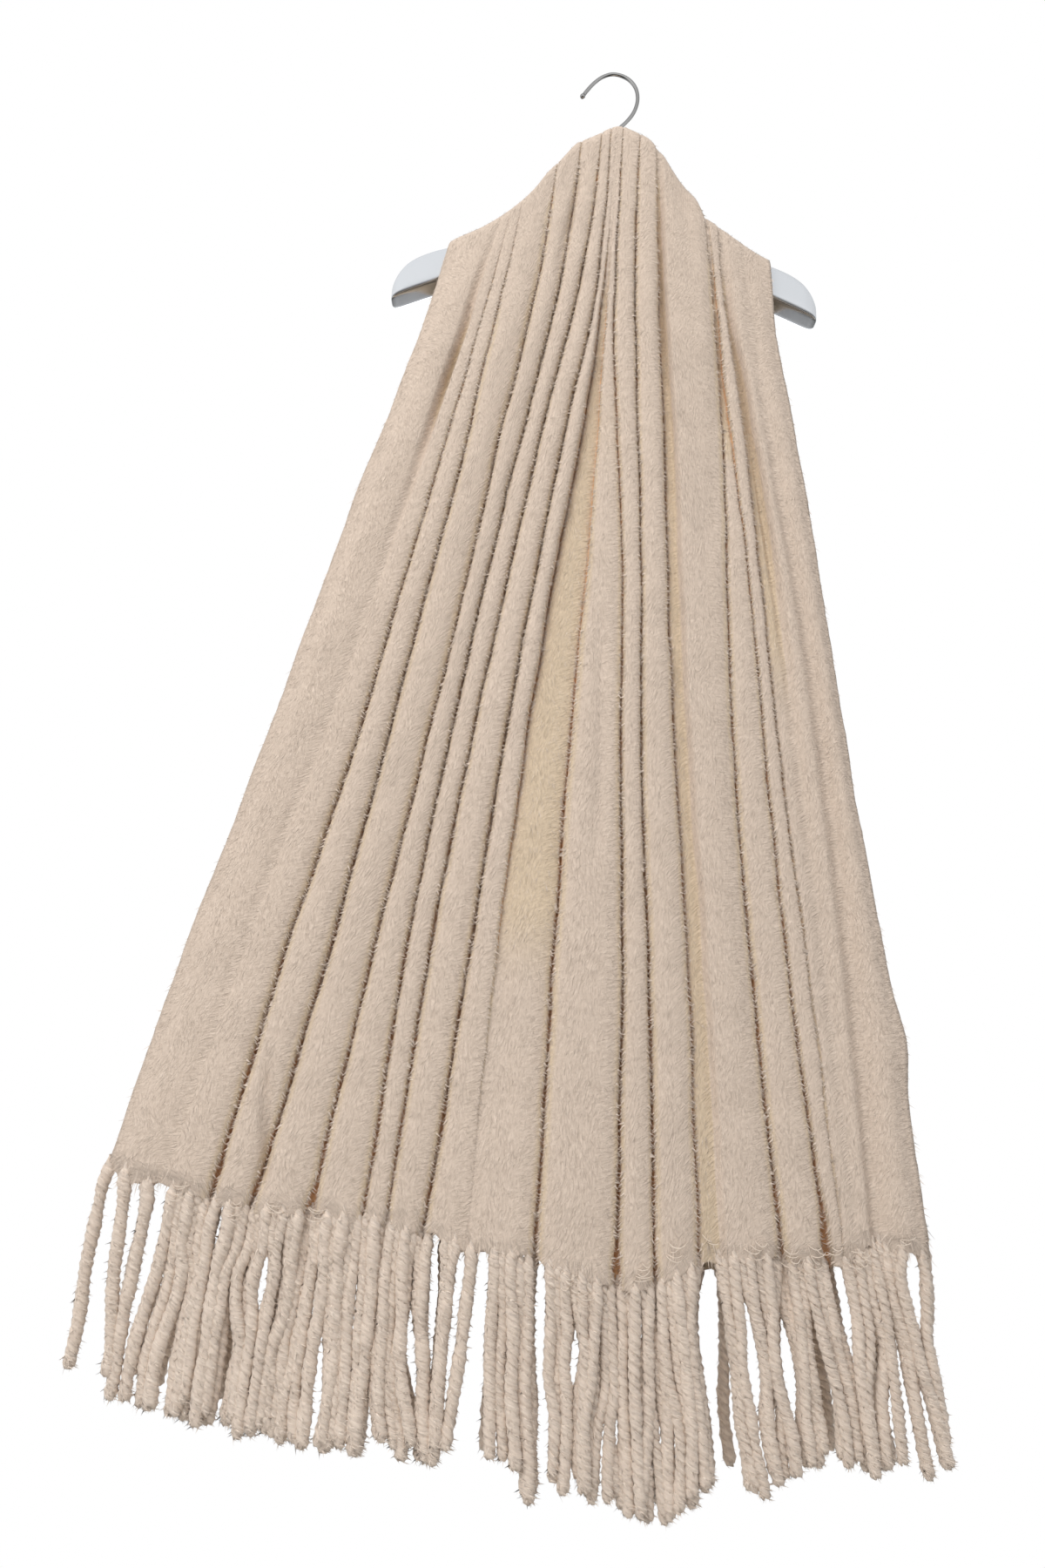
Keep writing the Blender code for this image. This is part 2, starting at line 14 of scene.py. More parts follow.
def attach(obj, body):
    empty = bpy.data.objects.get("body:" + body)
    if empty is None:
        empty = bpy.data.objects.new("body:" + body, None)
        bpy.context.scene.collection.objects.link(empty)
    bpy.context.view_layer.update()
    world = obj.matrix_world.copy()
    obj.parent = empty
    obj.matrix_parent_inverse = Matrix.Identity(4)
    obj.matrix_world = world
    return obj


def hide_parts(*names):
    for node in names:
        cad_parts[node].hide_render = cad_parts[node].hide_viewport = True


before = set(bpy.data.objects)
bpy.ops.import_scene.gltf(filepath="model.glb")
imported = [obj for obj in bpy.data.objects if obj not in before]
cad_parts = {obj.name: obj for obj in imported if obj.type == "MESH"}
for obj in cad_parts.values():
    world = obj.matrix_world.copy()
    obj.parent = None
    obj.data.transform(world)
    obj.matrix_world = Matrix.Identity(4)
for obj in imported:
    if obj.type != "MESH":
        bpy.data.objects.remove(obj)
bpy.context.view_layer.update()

MM = 0.001

# ---- measures of the cloth -------------------------------------------------------------
WALL = 2.8 * MM
# At the ridge, halfway and at the hem, in millimetres: the clear width of a pressed crevice, and
# the width over which its lips are steep.
CREVICE = (0.5, 0.6, 1.0)
CREVICE_STEEP = (1.1, 1.4, 2.2)
CREVICE_VARIES = 0.42         # how uneven its width is: the spread of the share that shows,
CREVICE_SHARES = (0.3, 1.8)   # and the least and the most of that share
CREVICE_WAVES = (             # how its line wanders: height in millimetres, step from one crevice
    (0.30, 0.37, 5, 0.10),    # to the next, seed, length of the waves
    (0.16, 0.61, 9, 0.022),
)
FLARE_FROM, FLARE_OVER = 0.95, 0.05    # from this drop, over this share of it, a crevice opens
HEM_FLARE = {                          # by so many millimetres more
    "wide_panel": 1.5, "second": 2, "third": 3, "opening_right": 2, "middle": 3, "eighth": 6,
    "ninth": 9,
}
ROLL_RADIUS = 16 * MM         # most that a roll's shoulder rounds over,
SHOULDER_SHARE = 0.46         # and the most of the panel's width that it takes
SOFT_REACH = 22 * MM          # how far a soft trough spreads
SLIT_SHARE = 0.60             # a steep lip takes this share of its crevice's depth
TROUGHS = {                   # soft troughs whose left and right sides differ, in millimetres
    "shoulder_dip": (9, 3.5), "groove_right": (22, 6), "branch": (22, 8),
}
CROWN = 2.4 * MM              # how far a wide roll's middle stands proud,
CROWN_SHARE = 0.05            # and how much of the roll's width that is at most
EDGE_SETBACK = 0.6 * WALL     # how far the inner face stops short of the cloth's edge
NECK_REACH = {-1: 29 * MM, 1: 31 * MM}       # how far the falls hang out from the arms'
SHOULDER_REACH = {-1: 20 * MM, 1: 24 * MM}   # middle, at the neck and at the shoulders
SHOULDER_X = 140 * MM         # how far the shoulders are from the neck
HANG_BACK = 3 * MM            # how much less than at the neck the falls hang out from the drop
HANG_DROP = 0.3               # of HANG_DROP down
NECK_BEND = 24 * MM           # the height of the bend over the arms at the neck,
SHOULDER_BEND = 17 * MM       # and at the shoulders
RIDGE_STEP = 9 * MM           # the ridge's slope is read this far to both sides
HEM_SWAY = 3 * MM             # how far the hem sways to and fro,
SWAY_WAVE = (23, 1.1)         # with this many radians a metre, from this phase
PARTING = 3.2 * MM            # how far the cloth is parted by the hook's stem,
PARTING_AT, PARTING_OVER = 2 * MM, 10 * MM   # where, and how far to both sides
FACE_WAVES = (                # the cloth's own unevenness: height in millimetres, seed, length
    (0.25, 21, 0.045),
    (0.12, 31, 0.014),
)
EDGE_BULGE = 5 * MM           # how far the front's right edge bulges,
BULGE_AT, BULGE_OVER = 0.825, 0.03   # at what drop, and over what share of it
SCALLOP = 5.0 * MM            # how far the hem is drawn down at each tassel,
SCALLOP_REACH = 4.5 * MM      # how far to both sides,
HEM_FROM, HEM_OVER = 0.978, 0.022    # from what drop, and over what share of it
FULL_RECESS = 24 * MM         # an open trough of this depth has the whole painted shade of a fold
LAID_BACK = 0.36              # share of the painted shade on a panel that lies behind the next ones,
LAID_FROM, LAID_OVER = 1 * MM, 3 * MM   # from what depth, and over how much more
PRESSED_SHADE = 0.95           # share of the painted shade in a pressed crevice
PRESSED_SINK = 4 * MM         # a crevice of this depth counts as wholly pressed
INNER_SHADE = 0.35             # share of the painted shade on the cloth's inner face
FALL_LENGTH = 0.95            # about what hangs from the ridge to the hem,
MEAN_FALL = 0.9               # and the length that the rows over the bend are shares of
COLUMN_PITCH = 5 * MM         # the widest columns of the grid

SHALLOW_DROP = (0, 0.04, 0.10, 0.22, 1)    # at these drops the pleats have these shares of
SHALLOW = (0.18, 0.30, 0.62, 1, 1)         # the depths in their tables
DROP = (0.0, 0.10, 0.20, 0.32, 0.46, 0.62, 0.80, 1.0)
FLUSH = (0, 0, 0, 0, 0, 0, 0, 0)           # the level of a panel that isn't laid back
RIDGE = np.array((            # points of the ridge over the arms: across, height
    (-140, -207), (-134, -203), (-121, -196), (-110, -189.5), (-88, -171.5), (-67, -147),
    (-56, -128.5), (-43, -112), (-30, -94.5), (-17, -87), (-1, -77.5), (10, -74), (19, -77),
    (33, -84), (46, -99), (58, -121), (68, -137), (79, -149.5), (88, -169), (99, -176.5),
    (116, -190), (136, -203.5), (147, -209.5),
)) * MM

# A row for each crevice: name, softness, hem height, then across, depth and the level of the
# panel to its right, each at the drops of DROP, in millimetres.
FRONT_PLEATS = (
    ("left_edge", 1, -1021, (-140, -156, -175, -201, -228, -259, -297, -334),
     (0, 1, 2, 3, 4, 4, 4, 4), FLUSH),
    ("shoulder_dip", 1, -1033, (-94, -112, -130, -153, -181, -214, -252, -292),
     (0, 6, 11, 3, 0, 0, 0, 0), FLUSH),
    ("wide_panel", 0, -1041, (-85, -100, -116, -136, -160, -187, -223, -258),
     (0, 2, 3, 5, 9, 14, 14, 12), (0, 0, 0, 0, 0, 1, 1, 0)),
    ("second", 0, -1045, (-76, -88, -102, -117, -139, -163, -191, -228),
     (1, 3, 5, 10, 13, 14, 14, 12), FLUSH),
    ("third", 0, -1047, (-47.5, -55, -67, -86, -105, -129, -157, -187),
     (5, 10, 14, 15, 15, 14, 12, 9), (1, 1, 1, 1, 1, 1, 0, 0)),
    ("fourth", 0, -1048, (-26.5, -33, -44, -64, -87, -110, -132, -148),
     (6, 12, 15, 15, 14, 13, 11, 8), FLUSH),
    ("fifth", 0, -1050, (-8, -14, -26, -47.5, -69, -92, -114, -132),
     (6, 11, 15, 15, 14, 13, 11, 7), (0, 0, 0, 1, 1, 1, 0, 0)),
    ("sixth", 0, -1058, (0, -3, -9, -28, -47.5, -67, -85, -105),
     (5, 9, 13, 15, 15, 14, 13, 12), (0, 0, 1, 2, 2, 1, 0, 0)),
    ("opening_left", 0, -1063, (5.5, 2.5, -2.5, -14, -33, -50, -64, -74),
     (0, 0, 6, 13, 13, 9, 3, 0), (0, 0, -4, -9, -8, -6, -3, 0)),
    ("opening_right", 0, -1069, (7.5, 5, 1.5, -2, -7, -15, -21, -25),
     (0, 0, 4, 9, 9, 12, 13, 12), (0, 0, -1, -3, -2, -1, 0, 0)),
    ("middle", 0, -1085, (11, 9, 8.3, 14, 22.5, 26, 32, 33),
     (5, 8, 9, 8, 8, 12, 13, 12), FLUSH),
    ("seventh", 0, -1083, (27, 25, 27, 32, 38, 42, 51.5, 60),
     (6, 10, 12, 10, 9, 12, 12, 10), FLUSH),
    ("groove_left", 0, -1067, (41.5, 45, 49, 55, 60, 69, 81.5, 91),
     (6, 12, 16, 16, 12, 11, 10, 7), (-6, -12, -13, -10, -8, -8, -7, -4)),
    ("groove_right", 1, -1060, (44, 47, 52, 61, 68, 78, 92, 106),
     (6, 12, 13, 10, 8, 8, 7, 4), FLUSH),
    ("eighth", 0, -1060, (86, 95, 102, 107, 110, 117, 131, 151),
     (5, 7, 8, 7, 7, 8, 9, 11), (-5, -7, -8, -2, 0, 0, 0, 0)),
    ("ninth", 0, -1061, (88.5, 98, 105.5, 118, 131, 143, 159, 184),
     (5, 7, 8, 4, 5, 6, 7, 12), FLUSH),
    ("tenth", 0, -1058, (98.5, 105, 118, 129.5, 141, 155, 174, 194),
     (4, 8, 12, 13, 7, 5, 2, 1), (-4, -8, -12, -9, -4, -2, 0, 0)),
    ("branch", 1, -1053, (101, 108, 121.5, 137, 153, 168, 184, 204),
     (4, 8, 12, 12, 6, 2, 0, 0), FLUSH),
    ("side_crease", 1, -1048, (118, 128, 139, 155, 174, 190, 205, 217),
     (0, 0, 1, 3, 4, 5, 5, 5), FLUSH),
    ("right_edge", 1, -1053, (147, 152, 164, 179, 195, 213, 236, 254),
     (0, 1, 2, 3, 4, 4, 4, 4), FLUSH),
)
BACK_PLEATS = (
    ("left_edge", 1, -1030, (-140, -158, -176, -199, -226, -255, -286, -318),
     (0, 1, 2, 3, 4, 4, 4, 4), FLUSH),
    ("first", 0, -1040, (-94, -110, -127, -148, -172, -198, -226, -255),
     (3, 5, 8, 11, 13, 13, 12, 10), FLUSH),
    ("second", 0, -1050, (-76, -87, -99, -115, -134, -156, -180, -204),
     (2, 5, 8, 7, 4, 5, 9, 11), FLUSH),
    ("third", 0, -1056, (-47.5, -56, -67, -81, -98, -117, -137, -157),
     (5, 10, 14, 15, 14, 12, 10, 9), (1, 1, 1, 1, 0, 0, 0, 0)),
    ("fourth", 0, -1061, (-26.5, -34, -43, -55, -70, -87, -105, -123),
     (6, 11, 13, 9, 5, 3, 6, 9), FLUSH),
    ("fifth", 0, -1066, (-8, -13, -20, -30, -43, -57, -72, -88),
     (6, 11, 14, 15, 14, 12, 10, 9), (0, 1, 1, 1, 1, 0, 0, 0)),
    ("sixth", 0, -1072, (0, -2, -5, -10, -18, -27, -37, -46),
     (5, 8, 10, 12, 13, 13, 12, 11), FLUSH),
    ("seventh", 0, -1076, (11, 14, 17, 20, 23, 26, 29, 31),
     (6, 8, 9, 6, 4, 7, 10, 10), FLUSH),
    ("eighth", 0, -1074, (27, 31, 36, 42, 49, 58, 67, 77),
     (6, 10, 13, 14, 14, 13, 11, 10), FLUSH),
    ("ninth", 0, -1069, (42, 50, 60, 72, 87, 104, 123, 143),
     (6, 12, 15, 15, 13, 11, 9, 7), FLUSH),
    ("tenth", 0, -1062, (86, 93, 101, 112, 126, 142, 159, 176),
     (5, 7, 8, 10, 12, 13, 12, 11), FLUSH),
    ("eleventh", 0, -1056, (99, 107, 117, 131, 149, 169, 190, 211),
     (4, 6, 4, 2, 4, 8, 9, 9), FLUSH),
    ("right_edge", 1, -1047, (147, 154, 165, 181, 202, 225, 249, 271),
     (0, 1, 2, 3, 4, 4, 4, 4), FLUSH),
)

# ---- measures of the tassels ---------------------------------------------------------------
TASSEL_FEET = np.array((      # how low the tassels reach: across, height
    (-344, -1153), (-319, -1163), (-276, -1171), (-233, -1183), (-144, -1192), (-92, -1194),
    (-54, -1198), (-32, -1214), (-9, -1206), (35, -1220), (55, -1223), (84, -1208),
    (122, -1204), (148, -1188), (201, -1188), (233, -1188), (247, -1182), (272, -1170),
)) * MM
# Places where the tassels of both rows part, in millimetres: upper end (across, height), lower
# end, half of the width that shows through at the upper end, halfway and at the lower end,
# and 1 where the parting reaches the hem. One that is wide at its lower end stays open.
PARTINGS = (
    (-326, -1023, -330, -1160, 4, 5.5, 6, 1),
    (-308, -1027, -308, -1092, 3.4, 3, 0, 1),
    (-290, -1035, -299, -1112, 3.4, 3.4, 0, 1),
    (-247, -1048, -250, -1073, 1.6, 1.6, 0, 1),
    (-212, -1070, -215, -1110, 0, 2.2, 0, 0),
    (-110, -1104, -103, -1160, 0, 3, 0, 0),
    (-95, -1060, -93, -1146, 2.6, 2.6, 0, 1),
    (-76, -1062, -83, -1160, 2.4, 2, 0, 1),
    (-60, -1066, -68, -1200, 2.6, 5, 9, 1),
    (-20.5, -1074, -18.7, -1154, 2.8, 3, 0, 1),
    (5.5, -1110, 5, -1150, 0, 2.6, 0, 0),
    (97.5, -1063, 94, -1136, 4, 5.5, 0, 1),
    (126, -1096, 132, -1162, 0, 3.4, 0, 0),
    (147, -1088, 159, -1170, 0, 5, 0, 0),
    (188, -1062, 198, -1118, 2.8, 2.8, 0, 1),
    (240.5, -1050, 240.5, -1088, 4, 4, 0, 1),
    (226, -1098, 240, -1190, 0, 2.2, 5.5, 0),
    (243, -1132, 252, -1176, 0, 1.6, 2.4, 0),
)
SIGHT = (-0.051, -0.964)      # the camera's place across and in height,
BEHIND = 1.06                 # and how many times as far as the front fringe the back one is;
ROOT_EDGE = 5 * MM            # the outermost tassels' distance from the cloth's edges,
ROOT_BESIDE = 3.5 * MM        # the nearest ones' from a parting that reaches the hem,
ROOT_PITCH = 11.5 * MM        # the usual distance between two,
ROOT_LEAST = 7 * MM           # the least,
ROOT_CLEAR = 3.2 * MM         # and the least between a parting and a tassel of the second layer

# Small creases laid on the falls: side, (across, height) of three points in
# millimetres, half width and depth in millimetres (a negative depth is a soft ridge).
CREASES = (
    (-1, (-22, -120), (-36, -200), (-46, -262), 3.5, 2.2),
    (-1, (-228, -930), (-222, -985), (-219, -1040), 3.5, 6.0),
    (-1, (4, -560), (10, -700), (8, -800), 6, 2.4),
    (-1, (60, -128), (70, -190), (78, -260), 5, 2.2),
    (-1, (-60, -800), (-56, -900), (-50, -1000), 7, 1.6),
    (-1, (160, -640), (178, -780), (196, -960), 8, 1.6),
    (-1, (92, -640), (104, -800), (122, -980), 9, -1.6),
    (-1, (-250, -700), (-285, -860), (-300, -1000), 16, 1.8),
    (-1, (-222, -560), (-262, -720), (-276, -800), 12, -1.6),
    (-1, (100, -260), (98, -420), (92, -560), 8, 1.4),
    (1, (-190, -420), (-215, -600), (-238, -780), 10, 2.2),
    (1, (-120, -300), (-140, -450), (-156, -560), 8, 1.8),
    (1, (5, -300), (0, -500), (-6, -760), 7, 1.8),
    (1, (104, -400), (118, -560), (132, -700), 8, 2.0),
    (1, (190, -500), (214, -700), (232, -900), 9, 2.4),
    (1, (-70, -620), (-82, -800), (-96, -980), 8, -1.6),
)

# Where the grid's columns lie on a shoulder, from its crevice to its crest.
PRESSED = (0.0, 0.022, 0.06, 0.12, 0.22, 0.36, 0.54, 0.76, 1.0)
SOFT = (0.0, 0.2, 0.4, 0.6, 0.8, 1.0)


# ---- helpers ---------------------------------------------------------------------------
def through(x, table_x, table_y):
    """A smooth curve through the table's points, without overshoot, read at x."""
    tx = np.asarray(table_x, float)
    ty = np.asarray(table_y, float)
    step = np.diff(tx)
    slope = np.diff(ty) / step
    inner = np.where(slope[:-1] * slope[1:] > 0,
                     2 * slope[:-1] * slope[1:] / (slope[:-1] + slope[1:] + 1e-12), 0.0)
    tangent = np.concatenate([slope[:1], inner, slope[-1:]])
    x = np.clip(np.asarray(x, float), tx[0], tx[-1])
    i = np.clip(np.searchsorted(tx, x, side="right") - 1, 0, len(step) - 1)
    t = (x - tx[i]) / step[i]
    return ((1 + 2 * t) * (1 - t) ** 2 * ty[i] + t * (1 - t) ** 2 * step[i] * tangent[i]
            + t * t * (3 - 2 * t) * ty[i + 1] + t * t * (t - 1) * step[i] * tangent[i + 1])


def ease(t):
    """0 up to t = 0 and 1 from t = 1 on, with a smooth S between: 3 t squared less 2 t cubed."""
    t = np.clip(t, 0, 1)
    return t * t * (3 - 2 * t)


def unit(v):
    """Vectors over their own lengths."""
    return v / np.maximum(np.linalg.norm(v, axis=-1, keepdims=True), 1e-12)


def ripples(a, b, seed, size, count=9):
    """Uneven waves over a plane: a sum of sines whose directions, lengths (0.6 to 1.7 of size)
    and phases are drawn once from the seed. Its spread is about one."""
    draw = np.random.default_rng(seed)
    total = np.zeros(np.broadcast(a, b).shape)
    for _ in range(count):
        turn = draw.uniform(0, math.pi)
        wave = 2 * math.pi / (size * draw.uniform(0.6, 1.7))
        total += np.sin(wave * (a * math.cos(turn) + b * math.sin(turn))
                        + draw.uniform(0, 2 * math.pi))
    return total / math.sqrt(count / 2)


def add_piece(name, points, faces, material, replaced=(), uv=None, values=None):
    """A smooth mesh from whole arrays, in place, riding on the frame. Each array in faces has a
    row of corners for each face; uv and values go by points."""
    corners = np.concatenate([rows.ravel() for rows in faces]).astype(np.int32)
    sizes = np.concatenate([np.full(len(rows), rows.shape[1]) for rows in faces])
    sizes = sizes.astype(np.int32)
    mesh = bpy.data.meshes.new(name)
    mesh.vertices.add(len(points))
    mesh.vertices.foreach_set("co", np.asarray(points, np.float32).ravel())
    mesh.loops.add(len(corners))
    mesh.loops.foreach_set("vertex_index", corners)
    mesh.polygons.add(len(sizes))
    starts = np.concatenate([[0], np.cumsum(sizes)[:-1]]).astype(np.int32)
    mesh.polygons.foreach_set("loop_start", starts)
    mesh.polygons.foreach_set("use_smooth", np.ones(len(sizes), bool))
    mesh.update(calc_edges=True)
    if uv is not None:
        layer = mesh.uv_layers.new(name="cloth")
        layer.data.foreach_set("uv", np.asarray(uv, np.float32)[corners].ravel())
    for key, value in (values or {}).items():
        attribute = mesh.attributes.new(key, "FLOAT", "POINT")
        attribute.data.foreach_set("value", np.asarray(value, np.float32).ravel())
    mesh.materials.append(material)
    piece = bpy.data.objects.new(name, mesh)
    bpy.context.scene.collection.objects.link(piece)
    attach(piece, "root")
    if replaced:
        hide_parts(*replaced)
    return piece


# ---- the pleated cloth -------------------------------------------------------------------
def ridge_height(x):
    """The smooth curve through the ridge's points."""
    return through(x, RIDGE[:, 0], RIDGE[:, 1])


def over_arms(x, at_neck, at_shoulder):
    """A measure that goes from its value at the neck to that at the shoulders as the square of
    the distance across."""
    near = 1 - np.clip(np.abs(x) / SHOULDER_X, 0, 1) ** 2
    return at_shoulder + (at_neck - at_shoulder) * near


def crease_depth(side, x, z):
    """How deep the listed creases are at (x, z): for each, the bell of the distance from
    its bent line, faded to nothing at both ends."""
    total = np.zeros(x.shape)
    for its_side, a, b, c, half, depth in CREASES:
        if its_side != side:
            continue
        top, bottom = a[1] * MM, c[1] * MM
        along = (z - top) / (bottom - top)
        line = through(along, (0, (b[1] - a[1]) / (c[1] - a[1]), 1), (a[0], b[0], c[0])) * MM
        fade = ease(along / 0.25) * ease((1 - along) / 0.25)
        total += depth * MM * fade * np.exp(-((x - line) / (half * MM)) ** 2)
    return total


def partings(side):
    """The table of partings in metres. The back fringe's are laid out in line with the front's
    as the camera sees them: their distances from the sight line grow with the depth."""
    table = np.array([row[:7] for row in PARTINGS]) * MM
    if side > 0:
        table[:, [0, 2]] = SIGHT[0] + (table[:, [0, 2]] - SIGHT[0]) * BEHIND
        table[:, [1, 3]] = SIGHT[1] + (table[:, [1, 3]] - SIGHT[1]) * BEHIND
    return table, np.array([row[7] for row in PARTINGS], bool)


def clear_of_partings(x, side):
    """Whether no parting that reaches the hem is near x."""
    table, from_hem = partings(side)
    near = np.abs(x - table[:, 0]) < table[:, 4] + ROOT_CLEAR
    return not np.any(near & from_hem)


class Fall:
    """One fall of the cloth, front (side -1) or back (side 1), worked out on a fine grid. For
    each row and crevice, line is its place across, depth and level come from the pleat table,
    and clear and steep are its widths. outer, inner, roots, the recess that sets the painted
    shade in the folds and the flank are the results."""

    def __init__(self, pleats, side, rows):
        self.side = side
        self.rows = np.asarray(rows, float)
        self.soft = np.array([row[1] for row in pleats], bool)
        plain = [(SOFT_REACH / MM,) * 2 if row[1] else (ROLL_RADIUS / MM,) * 2 for row in pleats]
        self.spread = MM * np.array([TROUGHS.get(row[0], reach) if side < 0 else reach
                                     for row, reach in zip(pleats, plain)])
        self.clear, self.steep = (through(self.rows, (0, 0.5, 1), widths)[:, None] * MM
                                  for widths in (CREVICE, CREVICE_STEEP))
        flare = np.array([HEM_FLARE.get(row[0], 0) * (side < 0) for row in pleats]) * MM
        self.clear = self.clear + flare[None] * ease((self.rows[:, None] - FLARE_FROM) / FLARE_OVER)
        self.hem = np.array([row[2] for row in pleats]) * MM
        self.start = np.array([row[3][0] for row in pleats]) * MM
        self.line, self.depth, self.level = (
            np.array([through(self.rows, DROP, row[i]) for row in pleats]).T * MM
            for i in (3, 4, 5))
        shallow = through(self.rows, SHALLOW_DROP, SHALLOW)[:, None]
        self.depth = self.depth * shallow
        self.level = self.level * shallow
        count = len(pleats)
        away = ease(self.rows / 0.12)[:, None] * ease((np.arange(count) + 0.5) * 2)
        down = self.rows[:, None] * FALL_LENGTH
        number = np.arange(count)[None, :]
        wave = sum(high * ripples(down, number * step, seed + side, size)
                   for high, step, seed, size in CREVICE_WAVES)
        self.line = self.line + MM * away * wave
        if side < 0:
            self.line[:, -1] += EDGE_BULGE * np.exp(-((self.rows - BULGE_AT) / BULGE_OVER) ** 2)
        uneven = 1 + CREVICE_VARIES * ripples(down, number * 0.83, 13 + side, 0.045)
        self.clear = self.clear * np.clip(uneven, *CREVICE_SHARES)
        self.columns()
        self.grids()

    def columns(self):
        """For each column of the grid: its panel, the part of this (0 left shoulder, 1 middle,
        2 right shoulder) and the share of that part. The number of columns is odd, so that the
        inner face can take every other one."""
        panel, part, share = [], [], []
        for k in range(len(self.soft) - 1):
            left = SOFT if self.soft[k] else PRESSED
            right = SOFT if self.soft[k + 1] else PRESSED
            left = left[1:] if self.soft[k] and k else left
            width = self.line[-1, k + 1] - self.line[-1, k]
            rest = width - min(SHOULDER_SHARE * width, ROLL_RADIUS) * 2
            middle = np.linspace(0, 1, max(1, int(rest / COLUMN_PITCH)) + 2)[1:-1]
            for kind, shares in ((0, left), (1, middle), (2, right[::-1])):
                panel += [k] * len(shares)
                part += [kind] * len(shares)
                share += list(shares)
        if len(panel) % 2 == 0:
            at = part.index(1)
            panel.insert(at, panel[at])
            part.insert(at, 1)
            share.insert(at, share[at] * 0.5)
        self.panel, self.part, self.share = np.array(panel), np.array(part), np.array(share)

    def profile(self, inner):
        """Across and outward displacement of every grid point. A roll's shoulder falls to its
        crevice as the sum of a wide and a narrow quarter oval, a soft trough as half a cosine,
        and the crown is a parabola between them. The inner face (inner 1, not 0) is the same
        with each shoulder drawn in and the crest lowered by the wall."""
        p, part, q = self.panel, self.part, self.share
        left, right = self.line[:, p], self.line[:, p + 1]
        width = right - left
        last = len(self.soft) - 1
        crown = np.minimum(CROWN_SHARE * width, CROWN) * ease(self.rows / 0.1)[:, None]
        sides = []
        for k, edge, side in ((p, p == 0, 1), (p + 1, p + 1 == last, 0)):
            soft = self.soft[k]
            reach = np.minimum(self.spread[k, side], SHOULDER_SHARE * width)
            slot = np.where(soft | edge, 0.0, np.minimum(0.5 * self.clear[:, k], 0.3 * reach))
            sink = self.depth[:, k] + self.level[:, p]
            shift = np.where(soft, 0.0, WALL * np.clip(sink / (2 * WALL), 0, 1))
            shift = np.clip(np.minimum(shift, reach - slot - 0.3 * MM), 0, None)
            shift = np.maximum(shift, EDGE_SETBACK * edge)
            begin = slot + shift * inner
            sides.append((soft, reach, begin, sink))
        (soft_l, reach_l, begin_l, sink_l), (soft_r, reach_r, begin_r, sink_r) = sides
        x = np.where(part == 0, left + begin_l + q * (reach_l - begin_l),
                     np.where(part == 2, right - begin_r - q * (reach_r - begin_r),
                              left + reach_l + q * (width - reach_l - reach_r)))

        def fallen(distance, begin, reach, soft):
            """The share of its depth that the cloth has fallen by, so far from the crevice."""
            share = np.clip((distance - begin) / (reach - begin), 0, 1)
            steep = np.clip((distance - begin) / np.minimum(self.steep, reach - begin), 0, 1)
            pressed = ((1 - SLIT_SHARE) * (1 - np.sqrt(1 - (1 - share) ** 2))
                       + SLIT_SHARE * (1 - np.sqrt(1 - (1 - steep) ** 2)))
            return np.where(soft, 0.5 + 0.5 * np.cos(math.pi * share), pressed)

        fall_l = fallen(x - left, begin_l, reach_l, soft_l)
        fall_r = fallen(right - x, begin_r, reach_r, soft_r)
        # how deep in a pressed crevice each point lies, for the painted shade
        self.pressed = np.maximum(*(
            np.where(soft, 0, np.clip(sink / PRESSED_SINK, 0, 1) * fall ** 0.6)
            for soft, sink, fall in ((soft_l, sink_l, fall_l), (soft_r, sink_r, fall_r))))
        t = (x - left) / width
        out = (self.level[:, p] - sink_l * fall_l - sink_r * fall_r
               + crown * 4 * t * (1 - t) * (1 - fall_l) * (1 - fall_r))
        return x, out - WALL * inner

    def place(self, x, out):
        """Points that stand out from the crests by out: the crests follow a quarter oval from
        the ridge to the reach of the fall, and then hang. The creases and the cloth's own
        unevenness are added to out first."""
        start = np.array([np.interp(a, b, self.start) for a, b in zip(x, self.line)])
        bottom = np.array([np.interp(a, b, self.hem) for a, b in zip(x, self.line)])
        drop = self.rows[:, None]
        top = ridge_height(start)
        z = top + (bottom - top) * drop
        waves = sum(high * ripples(x, z, seed + self.side, size)
                    for high, seed, size in FACE_WAVES)
        out = (out - crease_depth(self.side, x, z) * ease(drop / 0.03)
               + ease(drop / 0.05) * MM * waves)
        bend = np.clip((top - z) / over_arms(start, NECK_BEND, SHOULDER_BEND), 0, 1)
        cosine = 1 - bend
        sine = np.sqrt(1 - cosine ** 2)
        rise = ((ridge_height(start + RIDGE_STEP) - ridge_height(start - RIDGE_STEP))
                / (2 * RIDGE_STEP))
        flat = np.sqrt(1 + rise ** 2)
        toward = unit(np.stack([-cosine * rise / flat, sine, cosine / flat], axis=-1))
        reach = over_arms(start, NECK_REACH[self.side], SHOULDER_REACH[self.side])
        low = NECK_REACH[self.side] - HANG_BACK
        reach = reach + (low - reach) * ease(drop / HANG_DROP)
        reach = reach + HEM_SWAY * np.sin(SWAY_WAVE[0] * x + SWAY_WAVE[1]) * drop ** 2
        parting = PARTING * np.exp(-((x - PARTING_AT) / PARTING_OVER) ** 2) * (1 - bend) ** 2
        return np.stack([x + out * toward[..., 0],
                         self.side * (reach * sine + parting + out * toward[..., 1]),
                         z + out * toward[..., 2]], axis=-1)

